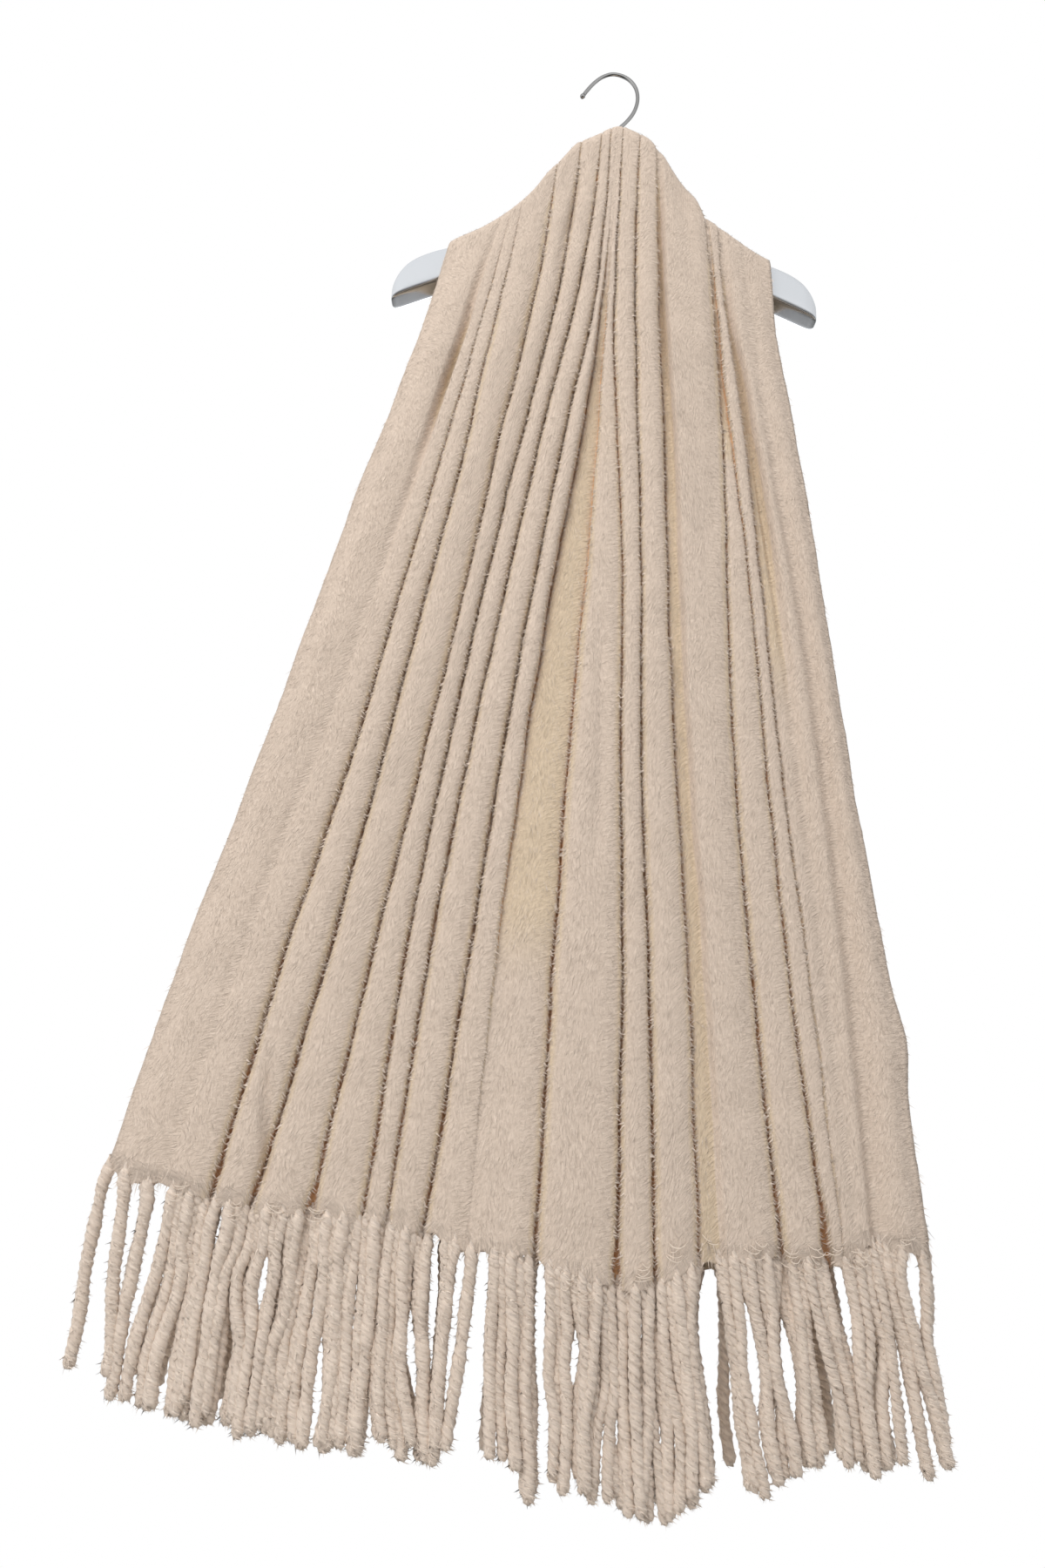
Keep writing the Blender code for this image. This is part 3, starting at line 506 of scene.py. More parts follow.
    def grids(self):
        """Outer and inner points, the hem drawn down at each tassel. Two masks are kept for the
        material: recess, where shade is painted, is the greatest of what an open trough, a panel
        laid back and a pressed crevice give, and flank is high where the nap lies crosswise."""
        x, out = self.profile(0)
        outer = self.place(x, out)
        # painted shade in the folds: the most of what depth, a panel laid back and a pressed crevice
        # give
        behind = LAID_BACK * np.clip(-(self.level[:, self.panel] + LAID_FROM) / LAID_OVER, 0, 1)
        self.recess = np.maximum(np.maximum(-out / FULL_RECESS, behind),
                                 PRESSED_SHADE * self.pressed)
        self.recess = np.clip(self.recess, 0, 1)
        crosswise = np.choose(self.part, (0.5 - 0.5 * self.share, 0.2, 1 - 0.6 * self.share))
        self.flank = np.broadcast_to(crosswise, out.shape)
        inner = self.place(*self.profile(1))
        self.roots = self.strand_roots(0.5 * (outer[-1] + inner[-1]))
        near = np.linalg.norm(outer[-1][:, None, :2] - self.roots[None, :, :2], axis=-1)
        strength = np.random.default_rng(15).uniform(0.3, 1.5, len(self.roots))
        close = (strength[None] * np.exp(-(near / SCALLOP_REACH) ** 2)).max(axis=1)
        wander = 0.35 * ripples(outer[-1][:, 0], 0 * close, 16, 0.03)
        pull = (SCALLOP * (close - 0.4 + wander)[None, :]
                * ease((self.rows - HEM_FROM) / HEM_OVER)[:, None])
        outer[..., 2] -= pull
        inner[..., 2] -= pull
        self.outer, self.inner = outer, inner

    def strand_roots(self, middle):
        """Where the tassels grow from the hem: at both sides of every parting that reaches it,
        then evenly between these, about ROOT_PITCH apart and nowhere under ROOT_LEAST."""
        way = np.concatenate([[0], np.cumsum(np.linalg.norm(np.diff(middle, axis=0), axis=1))])
        table, from_hem = partings(self.side)
        table = table[from_hem]
        across = np.maximum.accumulate(middle[:, 0] + np.arange(len(middle)) * 1e-9)
        ends = [ROOT_EDGE, way[-1] - ROOT_EDGE]
        for centre, half in table[:, [0, 4]]:
            beside = (centre - half - ROOT_BESIDE, centre + half + ROOT_BESIDE)
            ends += list(np.interp(beside, across, way))
        ends = np.sort(ends)
        between = []
        for start, end in zip(ends[::2], ends[1::2]):
            steps = max(1, round((end - start) / ROOT_PITCH))
            between += list(np.linspace(start, end, 1 + steps))
        roots = []
        for at in [*ends, *between]:
            root = np.array([np.interp(at, way, middle[:, i]) for i in range(3)])
            if all(np.linalg.norm(root[:2] - other[:2]) > ROOT_LEAST for other in roots):
                roots.append(root)
        return np.array(sorted(roots, key=lambda root: root[0]))


def wall_piece(name, fall, material, replaced):
    """A closed wall: the outer grid, an inner grid with half the rows and columns, and rims
    that join two outer cells to one inner cell."""
    outer, inner = fall.outer, fall.inner[::2, ::2]
    rows, cols = outer.shape[:2]
    in_rows, in_cols = inner.shape[:2]
    far = rows * cols

    def cells(r, c, width, start):
        """The quads of a grid whose points are numbered by rows from start."""
        a = start + r[:, None] * width + c[None, :]
        return np.stack([a, a + 1, a + width + 1, a + width], axis=-1).reshape(-1, 4)

    quads = cells(np.arange(rows - 1), np.arange(cols - 1), cols, 0)
    back = cells(np.arange(in_rows - 1), np.arange(in_cols - 1), in_cols, far)[:, ::-1]
    c = np.arange(in_cols - 1)
    r = np.arange(in_rows - 1)

    def rim(a, b, step, in_step, flip):
        """Faces of five corners, three from the outer grid and two from the inner one."""
        five = np.stack([a, a + step, a + 2 * step, b + in_step, b], axis=-1)
        return five[:, ::-1] if flip else five

    low = (rows - 1) * cols
    low_in = far + (in_rows - 1) * in_cols
    rims = np.concatenate([
        rim(2 * c, far + c, 1, 1, True),
        rim(low + 2 * c, low_in + c, 1, 1, False),
        rim(2 * r * cols, far + r * in_cols, cols, in_cols, False),
        rim(2 * r * cols + cols - 1, far + r * in_cols + in_cols - 1, cols, in_cols, True)])
    faces = [quads, back, rims]
    if fall.side < 0:
        faces = [f[:, ::-1] for f in faces]
    arc = np.cumsum(np.linalg.norm(np.diff(outer, axis=1, prepend=outer[:, :1]), axis=2), axis=1)
    arc = arc - arc[:, cols // 2][:, None]
    down = np.cumsum(np.linalg.norm(np.diff(outer, axis=0, prepend=outer[:1]), axis=2), axis=0)
    down = np.broadcast_to(np.median(down, axis=1)[:, None], arc.shape)
    uv = np.stack([arc, -down], axis=-1)
    uvs = np.vstack([uv.reshape(-1, 2), uv[::2, ::2].reshape(-1, 2)])
    # the inner face gets a fixed share of the painted shade
    recess = np.concatenate([fall.recess.ravel(), np.full(in_rows * in_cols, INNER_SHADE)])
    flank = np.concatenate([fall.flank.ravel(), fall.flank[::2, ::2].ravel()])
    points = np.vstack([outer.reshape(-1, 3), inner.reshape(-1, 3)])
    return add_piece(name, points, faces, material, replaced, uvs,
                     {"recess": recess, "flank": flank})


def grid_normals(grid, side):
    """Unit vectors of a grid of points: out of the cloth, across it and down it."""
    across = np.gradient(grid, axis=1)
    down = np.gradient(grid, axis=0)
    return unit(side * np.cross(across, down)), unit(across), unit(down)


# ---- nap -----------------------------------------------------------------------------
# Ranges of the hairs' lengths and widths in millimetres and of their lift off the cloth in
# radians, and the mean and spread of their tone.
NAP_LENGTH, NAP_WIDTH, NAP_LIFT, NAP_TONE = (2.6, 6.4), (0.3, 0.6), (0.05, 0.2), (0.56, 0.3)
NAP_HEM_FROM, NAP_HEM_OVER = 0.972, 0.02   # more and longer hairs grow from this drop down
NAP_SLANT, NAP_STRAY = 0.12, 0.28          # mean turn from straight down and its spread,
NAP_DRIFT, NAP_COMB = 0.09, 0.85           # and how far the drift and the shoulder turn it
HEM_DENSER, HEM_ROWS_DENSE = 2.6, 5        # how many times as dense it is in the last rows
TUFT_LENGTH, TUFT_WIDTH, TUFT_TONE = (2.2, 5.0), (0.35, 0.75), (0.49, 0.22)
TUFT_SLANT, TUFT_OUT = (0.7, 0.28), (-0.05, 0.22)   # turn downwards, and how far they stand out
TUFT_DROPS = (0.012, 0.999)                # the first and the last drop that has tufts
LOCK_SHARE, LOCK_WIDTH = 0.35, (1.0, 1.7)  # this share of the tufts are locks, and so wide
LIP_BAND, EDGE_BAND = (0.3, 3.0), (0.3, 7) # how far from a crevice or an edge tufts grow
SHALLOW_LIP, DEEP_LIP = 0.3, 2.8           # none grow at a shallower lip, all at a deeper one
EDGE_SHORTER = 0.65                        # the share of their length that tufts at an edge have
EDGE_DEEP = 9.0                            # an edge counts as a crevice so many millimetres deep
ROOTED = 0.15 * MM                         # how deep in the cloth a hair's root lies,
TUFT_ROOTED = 0.2 * MM                     # and a tuft's, and a yarn hair's in its ply


def hairs(name, roots, along, normal, length, width, lift, material, tone):
    """Tapered hairs, each a flat three-sided spike: its base lies across the hair at the root,
    its tip stands where the hair's run, tilted off the cloth by the lift, ends. They are shaded
    mostly as the cloth below them is."""
    along = unit(along)
    run = unit(along * np.cos(lift)[:, None] + normal * np.sin(lift)[:, None])
    across = unit(np.cross(run, normal))
    up = np.cross(across, run)
    half = 0.5 * width[:, None]
    points = np.stack([roots + across * half, roots - across * half, roots + up * half * 0.7,
                       roots + run * length[:, None]], axis=1)
    base = 4 * np.arange(len(roots))[:, None, None]
    sides = np.array([(0, 2, 1), (0, 1, 3), (1, 2, 3), (2, 0, 3)])
    faces = [(base + sides[None]).reshape(-1, 3)]
    piece = add_piece(name, points.reshape(-1, 3), faces, material,
                      values={"tone": np.repeat(tone, 4)})
    shade = np.repeat(unit(normal + 0.35 * up), 4, axis=0)
    piece.data.normals_split_custom_set_from_vertices(shade)
    return piece


def read_grid(field, r, c):
    """A grid's values at fractional rows r and columns c."""
    r0 = np.clip(r.astype(int), 0, field.shape[0] - 2)
    c0 = np.clip(c.astype(int), 0, field.shape[1] - 2)
    fr, fc = (r - r0)[:, None], (c - c0)[:, None]
    top = field[r0, c0] * (1 - fc) + field[r0, c0 + 1] * fc
    low = field[r0 + 1, c0] * (1 - fc) + field[r0 + 1, c0 + 1] * fc
    return top * (1 - fr) + low * fr


def nap_on(fall, name, count, seed, material):
    """Hairs strewn evenly over the outer face of a fall, with more at the hem. Each runs down
    and to a side: by a slow drift over the cloth, a turn of its own, the comb of its shoulder
    away from the crest, and the pull of a near crevice."""
    draw = np.random.default_rng(seed)
    grid = fall.outer
    normal, across, down = grid_normals(grid, fall.side)
    cols = grid.shape[1]
    corner = grid[:-1, :-1]
    size = np.linalg.norm(np.cross(grid[:-1, 1:] - corner, grid[1:, :-1] - corner), axis=-1)
    weight = size * (1.2 - fall.recess[:-1, :-1])
    weight[-HEM_ROWS_DENSE:] *= HEM_DENSER
    pick = draw.choice(weight.size, count, p=(weight / weight.sum()).ravel())
    r, c = np.divmod(pick, cols - 1)
    r, c = r + draw.random(count), c + draw.random(count)
    root = read_grid(grid, r, c)
    n, a, d = (unit(read_grid(v, r, c)) for v in (normal, across, down))
    dip = np.gradient(fall.recess, axis=1)[r.astype(int), c.astype(int)]
    comb = np.choose(fall.part, (fall.share - 1.0, 0.0, 1.0 - fall.share))
    comb = np.interp(c, np.arange(cols), comb)
    turn = (NAP_SLANT + NAP_DRIFT * ripples(root[:, 0], root[:, 2], seed + 1, 0.07)
            + draw.normal(0, NAP_STRAY, count) + NAP_COMB * comb)
    drop = np.interp(r, np.arange(len(fall.rows)), fall.rows)
    near_hem = ease((drop - NAP_HEM_FROM) / NAP_HEM_OVER)
    turn = turn * (1 - 0.75 * near_hem)
    along = (d * np.cos(turn)[:, None] + a * np.sin(turn)[:, None]
             + a * np.clip(dip * 10, -0.6, 0.6)[:, None])
    length = draw.uniform(*NAP_LENGTH, count) * MM * (1 + 0.8 * near_hem)
    width = draw.uniform(*NAP_WIDTH, count) * MM
    lift = draw.uniform(*NAP_LIFT, count)
    tone = np.clip(draw.normal(*NAP_TONE, count), 0, 1)
    return hairs(name, root - n * ROOTED, along, n, length, width, lift, material,
                 tone)


def tufts_on(fall, name, spacing, seed, material):
    """Tufts of nap along both lips of every crevice and along the cloth's two edges, spacing
    apart before they are thinned out in clumps and where the crevice is shallow. They grow on
    the shoulder near the crevice and run across it and down; at an edge they run outwards."""
    draw = np.random.default_rng(seed)
    normal, across, down = grid_normals(fall.outer, fall.side)
    number = np.arange(len(fall.panel))
    last = len(fall.soft) - 1
    length_of = np.cumsum(np.linalg.norm(np.diff(fall.outer[:, 0], axis=0, prepend=0), axis=1))
    each = int((length_of[-1] - length_of[0]) / spacing)
    rows, cols, ways, deep, free = [], [], [], [], []
    for k in range(last + 1):
        edge = k in (0, last)
        if fall.soft[k] and not edge:
            continue
        for panel, part, way in ((k - 1, 2, 1), (k, 0, -1)):
            if not 0 <= panel < last:
                continue
            mine = (fall.panel == panel) & (fall.part == part)
            order = np.argsort(fall.share[mine])
            r = (np.arange(each) + draw.random(each)) / each
            r = np.interp(r, np.linspace(0, 1, 20), np.linspace(*TUFT_DROPS, 20))
            width = np.interp(r, fall.rows, fall.line[:, panel + 1] - fall.line[:, panel])
            reach = np.minimum(ROLL_RADIUS, SHOULDER_SHARE * width)
            share = draw.uniform(*(EDGE_BAND if edge else LIP_BAND), each) * MM / reach
            r = np.interp(r, fall.rows, np.arange(len(fall.rows)))
            rows.append(r)
            cols.append(np.interp(share, fall.share[mine][order], number[mine][order]))
            ways.append(np.full(each, float(way)))
            free.append(np.full(each, edge))
            line_depth = np.interp(r, np.arange(len(fall.rows)),
                                   fall.depth[:, k] + fall.level[:, panel])
            deep.append(np.where(edge, EDGE_DEEP, line_depth / MM))
    r, c, way, deep, free = (np.concatenate(v) for v in (rows, cols, ways, deep, free))
    clump = 0.75 + 0.4 * ripples(r * 7.0, c * 3.0, seed + 5, 9.0)
    deep_enough = np.clip((deep - SHALLOW_LIP) / (DEEP_LIP - SHALLOW_LIP), 0, 1)
    keep = draw.random(len(r)) < deep_enough * clump
    r, c, way, free = r[keep], c[keep], way[keep], free[keep]
    count = len(r)
    root = read_grid(fall.outer, r, c)
    n, d = unit(read_grid(normal, r, c)), unit(read_grid(down, r, c))
    slant = draw.normal(*TUFT_SLANT, count)[:, None]
    sideways = np.array([1.0, 0.0, 0.0]) * way[:, None]
    out = np.array([0.0, fall.side * 1.0, 0.0])
    along = (sideways * np.cos(slant) + d * np.sin(slant)
             + out * draw.uniform(*TUFT_OUT, count)[:, None])
    length = draw.uniform(*TUFT_LENGTH, count) * MM * np.where(free, EDGE_SHORTER, 1)
    locks = (draw.random(count) < LOCK_SHARE) & ~free
    width = np.where(locks, draw.uniform(*LOCK_WIDTH, count), draw.uniform(*TUFT_WIDTH, count))
    tone = np.clip(draw.normal(*TUFT_TONE, count), 0, 1)
    return hairs(name, root - n * TUFT_ROOTED, along, unit(n + 0.5 * out), length, width * MM,
                 np.zeros(count), material, tone)


# ---- tassels ----------------------------------------------------------------------------
PLY_RADIUS = 2.95 * MM
PLY_ORBIT = 1.85 * MM         # how far a ply's middle runs from its tassel's
PLY_OVAL = (0.95, 1.12)       # a ply's radii along the spoke and across it
ROPE_HALF = 4.4 * MM          # half of a tassel's width
TWIST = 12.5 * MM             # about one full turn of the two plies
FOOT_ROUND = 5 * MM           # the length over which a tassel rounds off at its foot,
FOOT_OVAL = 5.05 * MM         # and the oval's half length, a little more
RING_SIDES = 5                # sides of a ply's rings,
RINGS = {-1: 70, 1: 50}       # and how many rings it has in front and behind
YARN_TILE = (0.017, 0.05)     # once round a ply on its map, and from one tassel to the next
THICK_LEFT = -0.333           # left of here the tassels are THICKER
THICKER = 1.15

CROWDED = (-0.28, 0.235)      # between these the front has a second layer of tassels,
LAYER = 1.5 * MM              # so far behind the first at the hem,
LAYER_BELOW = 1.1 * MM        # and both layers this far from their middle further down
IN_CLOTH = 9 * MM             # how far a tassel's top is up inside the cloth
FOOT_UNEVEN = (-7, 6)         # how far a foot is off TASSEL_FEET, in millimetres,
BACK_LOWER = 4 * MM           # and how far lower the back's are
LEAN = (0.06, 0.46)           # a tassel's lean, and what a metre across adds to it
LEAN_STRAY = 0.035
SWAYS = (                     # two sways: their widths in millimetres, and their half waves
    ((0.8, 3.2), 1.3),
    ((0.2, 0.9), 3.4),
)
PLUMB = 8 * MM                # how far behind the falls' reach the tassels hang,
PLUMB_SHARE = 0.6             # the share of the way to there that they go,
PLUMB_DROP = 60 * MM          # and the drop over which they do
# A parting, by its width and its length: its push starts at PUSH_FROM widths and fades over
# PUSH_OVER more; where it closes, its sides draw together from the share SHUT_FROM of its
# length, less with the distance SHUT_REACH, and it lets go up to LET_GO.
PUSH_FROM, PUSH_OVER = 1.35, 0.35
SHUT_FROM, SHUT_OVER, SHUT_REACH = 0.8, 0.8, 14 * MM
LET_GO, LET_GO_OVER = 1.5, 0.7
SIDE_AT = 0.4                 # at this share a tassel's side of the parting is read
PUSH_WIDTHS = 4               # tassels more widths away than this stay where they are
PUSH_DROP = {True: 14 * MM, False: 40 * MM}   # drop over which a push sets in, at the hem or not
ASTRAY = 2.0 * MM             # least distance of a tassel from a parting's line, above and below


def leaning(x):
    """How far a tassel goes sideways for each metre down."""
    return LEAN[0] + LEAN[1] * x


def fluffiness(x):
    """1 in the fringe's left half, where the yarn has come loose, and 0 in its right half."""
    return ease((0.03 - x) / 0.06)


def strand_lines(fall, seed):
    """Middle lines of a fringe's tassels, strands by rings: each leaves the hem straight down,
    leans away from the middle and sways slowly. Every parting then pushes the lines near it to
    the distance that it needs, by an exponential that leaves far ones in place, and draws them
    together again below its end where it closes."""
    draw = np.random.default_rng(seed)
    roots = fall.roots
    between = 0.5 * (roots[1:] + roots[:-1])
    crowded = ((between[:, 0] > CROWDED[0]) & (between[:, 0] < CROWDED[1]) & (fall.side < 0)
               & np.array([clear_of_partings(x, fall.side) for x in between[:, 0]]))
    under = between[crowded] + (0, -fall.side * LAYER, 0)
    upper_count = len(roots)
    roots = np.concatenate([roots, under])
    count = len(roots)
    s = np.linspace(0, 1, RINGS[fall.side])[None, :]
    top = roots[:, 2:3] + IN_CLOTH
    foot = np.interp(roots[:, 0] * 1.03, TASSEL_FEET[:, 0], TASSEL_FEET[:, 1])[:, None]
    foot = foot + draw.uniform(*FOOT_UNEVEN, (count, 1)) * MM
    if fall.side > 0:
        foot = foot - BACK_LOWER
    z = top + (foot - top) * s
    drop = roots[:, 2:3] - z
    lean = leaning(roots[:, :1]) + draw.normal(0, LEAN_STRAY, (count, 1))
    phase = draw.uniform(0, 2 * math.pi, (count, 2))
    sway = sum(draw.uniform(*wide, (count, 1)) * np.sin(math.pi * waves * s + phase[:, i:i + 1])
               for i, (wide, waves) in enumerate(SWAYS))
    x = roots[:, :1] + lean * np.clip(drop, 0, None) + sway * MM * ease(s * 2.5)
    table, from_hem = partings(fall.side)
    for (upper_x, upper, lower_x, lower, *halves), at_hem in zip(table, from_hem):
        t = (upper - z) / (upper - lower)
        inside = 1.0 if at_hem else ease((t + 0.45) / 0.65)
        closes = halves[2] == 0
        centre = upper_x + (lower_x - upper_x) * t
        if closes:
            inside = inside * ease((LET_GO - t) / LET_GO_OVER)
            centre = np.where(t > 1, lower_x + leaning(lower_x) * (lower - z), centre)
        room = ASTRAY + (through(t, (0, 0.5, 1), halves) + ROPE_HALF - ASTRAY) * inside
        pick = np.arange(count), np.argmin(np.abs(t - SIDE_AT), axis=1)
        sign = np.where(x[pick] >= centre[pick], 1.0, -1.0)[:, None]
        away = (x - centre) * sign
        near = np.minimum(away - PUSH_FROM * room, 0) / (PUSH_OVER * room)
        pushed = np.where(away < PUSH_FROM * room, room + PUSH_OVER * room * np.exp(near), away)
        if closes:
            apart = np.clip(pushed - ROPE_HALF, 0, None)
            shut = ease((t - SHUT_FROM) / SHUT_OVER)
            pushed = pushed - shut * apart * np.exp(-apart / SHUT_REACH)
        share = (ease(drop / PUSH_DROP[bool(at_hem)])
                 * (np.abs(away[pick]) < PUSH_WIDTHS * room[pick])[:, None])
        x = x + sign * (pushed - away) * share
    layer = np.where(np.arange(count) < upper_count, 1.0, -1.0)[:, None] * fall.side
    plane = fall.side * (NECK_REACH[fall.side] - PLUMB)
    forward = (PLUMB_SHARE * (plane - roots[:, 1:2]) + layer * LAYER_BELOW
               + draw.normal(0, 0.8, (count, 1)) * MM)
    y = roots[:, 1:2] + ease(drop / PLUMB_DROP) * forward
    return np.stack([x, y, z], axis=-1), draw


def tube_faces(count, rings, sides):
    """The quads of count tubes, each of so many rings and sides, and the caps of their first
    and of their last rings."""
    tube = np.arange(count)[:, None, None] * rings * sides
    row = np.arange(rings - 1)[None, :, None] * sides
    k = np.arange(sides)[None, None, :]
    after = (k + 1) % sides
    quads = np.stack([tube + row + k, tube + row + sides + k, tube + row + sides + after,
                      tube + row + after], axis=-1).reshape(-1, 4)
    first = tube[:, 0] + np.arange(sides)
    return quads, first, (first + (rings - 1) * sides)[:, ::-1]


def two_ply(name, fall, seed, material, replaced):
    """Twisted tassels: two plies run round each middle line half a turn apart, each a tube of
    oval section that thins at the root, rounds off at the foot and swells unevenly. Gives the
    piece, and its points and the ways outwards at them by strand, ply, ring and side."""
    lines, draw = strand_lines(fall, seed)
    count, rings = lines.shape[:2]
    tangent = unit(np.gradient(lines, axis=1))
    way = np.cumsum(np.linalg.norm(np.diff(lines, axis=1, prepend=lines[:, :1]), axis=2), axis=1)
    first = -unit(np.cross(tangent, np.array([0.0, 1.0, 0.0])))
    second = np.cross(first, tangent)
    turn = (2 * math.pi * way / (TWIST * draw.uniform(0.9, 1.15, (count, 1)))
            + draw.uniform(0, 2 * math.pi, (count, 1)))
    length = way[:, -1:]
    swell = 1 + 0.09 * ripples(way, np.arange(count)[:, None] * 0.31, seed + 3, 0.02)
    grow = 0.25 + 0.75 * ease(way / (12 * MM))
    past = np.clip(way - length + FOOT_ROUND, 0, None) / FOOT_OVAL
    close = np.sqrt(np.clip(1 - past ** 2, 0.02, 1))
    size = swell * grow * close * draw.uniform(0.86, 1.14, (count, 1))
    root_x = lines[:, :1, 0]
    size = size * (1 + 0.13 * fluffiness(root_x)) * np.where(root_x < THICK_LEFT, THICKER, 1.0)
    ring = 2 * math.pi * np.arange(RING_SIDES) / RING_SIDES
    tubes, outward, uvs = [], [], []
    for half_turn in (0, math.pi):
        angle = turn + half_turn
        spoke = first * np.cos(angle)[..., None] + second * np.sin(angle)[..., None]
        path = lines + spoke * (PLY_ORBIT * grow * draw.uniform(0.95, 1.05))[..., None]
        ahead = unit(np.gradient(path, axis=1))
        side = unit(np.cross(ahead, spoke))
        radius = (PLY_RADIUS * size)[:, :, None, None]
        around = (spoke[:, :, None] * np.cos(ring)[None, None, :, None] * PLY_OVAL[0]
                  + side[:, :, None] * np.sin(ring)[None, None, :, None] * PLY_OVAL[1])
        tubes.append(path[:, :, None] + radius * around)
        outward.append(around)
        u = np.broadcast_to(ring[None, None] / (2 * math.pi) * YARN_TILE[0], around.shape[:3])
        v = np.broadcast_to(way[..., None], u.shape)
        uvs.append(np.stack([u + YARN_TILE[1] * np.arange(count)[:, None, None], v], axis=-1))
    points = np.stack(tubes, axis=1)
    outward = np.stack(outward, axis=1)
    uv = np.stack(uvs, axis=1)
    quads, tops, feet = tube_faces(count * 2, rings, RING_SIDES)
    faces = [quads[:, [0, 3, 2, 1]], tops[:, ::-1], feet[:, ::-1]]
    tone = np.broadcast_to(draw.uniform(0.25, 0.75, (count, 1, 1, 1)), points.shape[:4])
    piece = add_piece(name, points.reshape(-1, 3), faces, material,
                      replaced, uv.reshape(-1, 2), {"tone": tone})
    return piece, points, outward


# Of the yarn's hairs: the share at the feet, the share of hidden ones that are turned to the
# outside, the ranges of length and width in millimetres and of the lift in radians, how far they
# stray in X, Y and Z, and the mean and spread of the tone.
FOOT_HAIRS, TURNED_OUT = 0.13, 0.75
BRUSH_LENGTH, BRUSH_LIFT = (3, 6), (0.0, 0.3)
FUZZ_LENGTH, FUZZ_WIDTH, FUZZ_LIFT = (2.2, 4.8), (0.35, 0.8), (0.04, 0.28)
FUZZ_STRAY, FUZZ_TONE = (0.35, 0.15, 0.2), (0.5, 0.36)


def fuzz_on(name, points, outward, face, count, seed, material):
    """Short hairs off the plies, most of them on the side that faces outwards (face is -1 or 1),
    and a brush of longer ones at each foot. Each runs on along its ply and strays sideways,
    farther where the yarn is fluffy."""
    draw = np.random.default_rng(seed)
    strands, plies, rings, sides = points.shape[:4]
    a = draw.integers(0, strands, count)
    b = draw.integers(0, plies, count)
    foot = draw.random(count) < FOOT_HAIRS
    c = np.where(foot, draw.integers(rings - 5, rings - 1, count),
                 draw.integers(3, rings - 2, count))
    d = draw.integers(0, sides, count)
    hidden = outward[a, b, c, d][:, 1] * face < -0.2
    d = np.where(hidden & (draw.random(count) < TURNED_OUT), (d + sides // 2) % sides, d)
    root = points[a, b, c, d]
    run = unit(points[a, b, np.minimum(c + 1, rings - 1), d] - points[a, b, c - 1, d])
    normal = unit(outward[a, b, c, d])
    fluffy = fluffiness(root[:, 0])
    length = np.where(foot, draw.uniform(*BRUSH_LENGTH, count),
                      draw.uniform(*FUZZ_LENGTH, count)) * MM
    width = draw.uniform(*FUZZ_WIDTH, count) * MM * (1 + 0.3 * fluffy)
    lift = np.where(foot, draw.uniform(*BRUSH_LIFT, count), draw.uniform(*FUZZ_LIFT, count))
    stray = draw.normal(0, 1, (count, 3)) * FUZZ_STRAY
    stray[:, 0] += draw.choice((-0.5, 0.5), count) * (0.6 + 0.6 * fluffy)
    tone = np.clip(draw.normal(*FUZZ_TONE, count), 0, 1)
    return hairs(name, root - normal * TUFT_ROOTED, run + stray, normal, length, width, lift,
                 material, tone)


# ---- loose threads at the hem --------------------------------------------------------------
THREADS = (                   # weft that has slipped at the hem: across, height, bows
    (-1, -1082, 4), (9, -1090, 4), (51, -1072, 5), (73, -1057, 5), (98, -1053, 2),
    (132, -1054, 5), (158, -1058, 6), (175, -1056, 5), (187, -1053, 3), (206, -1056, 5),
    (237, -1046, 3), (-237, -1045, 5), (-209, -1045, 4), (-278, -1036, 4), (-182, -1046, 4),
)
THREAD_RADIUS = 0.27 * MM


def hem_threads(fall, material):
    """Thin bent threads that stand in small bows off the hem: each is a tube along a parabola
    that hangs down and stands out, tilted to one side. A row for each gives its middle, half
    width, sag and tilt."""
    draw = np.random.default_rng(77)
    rows = []
    for x, z, bows in THREADS:
        for i in range(bows):
            rows.append((x + draw.normal(0, 2.0), z + 6 - 2.5 * i + draw.normal(0, 0.9),
                         draw.uniform(2.6, 6.4), draw.uniform(0.8, 3.0), draw.normal(0, 1.0)))
    rows = np.array(rows) * MM
    t = np.linspace(-1, 1, 9)[None, :]
    column = np.argmin(np.abs(fall.outer[-1, :, 0][None] - rows[:, :1]), axis=1)
    front = fall.outer[-6:, column, 1].min(axis=0)[:, None]
    x = rows[:, :1] + rows[:, 2:3] * t
    z = rows[:, 1:2] - rows[:, 3:4] * (1 - t ** 2) + rows[:, 4:5] * t
    y = front - 3.0 * MM * (1 - t ** 4) - 0.6 * MM
    path = np.stack([x, np.broadcast_to(y, x.shape), z], axis=-1)
    return tubes_along("hem_threads", path, THREAD_RADIUS, 5, material)


def tubes_along(name, paths, radius, sides, material, replaced=()):
    """Round closed tubes along many paths at once (paths by points by 3). radius is one number
    or an array of paths by points."""
    count, rings = paths.shape[:2]
    tangent = unit(np.gradient(paths, axis=1))
    side = unit(np.cross(tangent, np.array([0.0, 1.0, 0.001])))
    up = np.cross(side, tangent)
    angle = 2 * math.pi * np.arange(sides) / sides
    radius = np.broadcast_to(radius, (count, rings))[..., None, None]
    points = paths[:, :, None] + radius * (side[:, :, None] * np.cos(angle)[None, None, :, None]
                                           + up[:, :, None] * np.sin(angle)[None, None, :, None])
    return add_piece(name, points.reshape(-1, 3), tube_faces(count, rings, sides), material,
                     replaced)


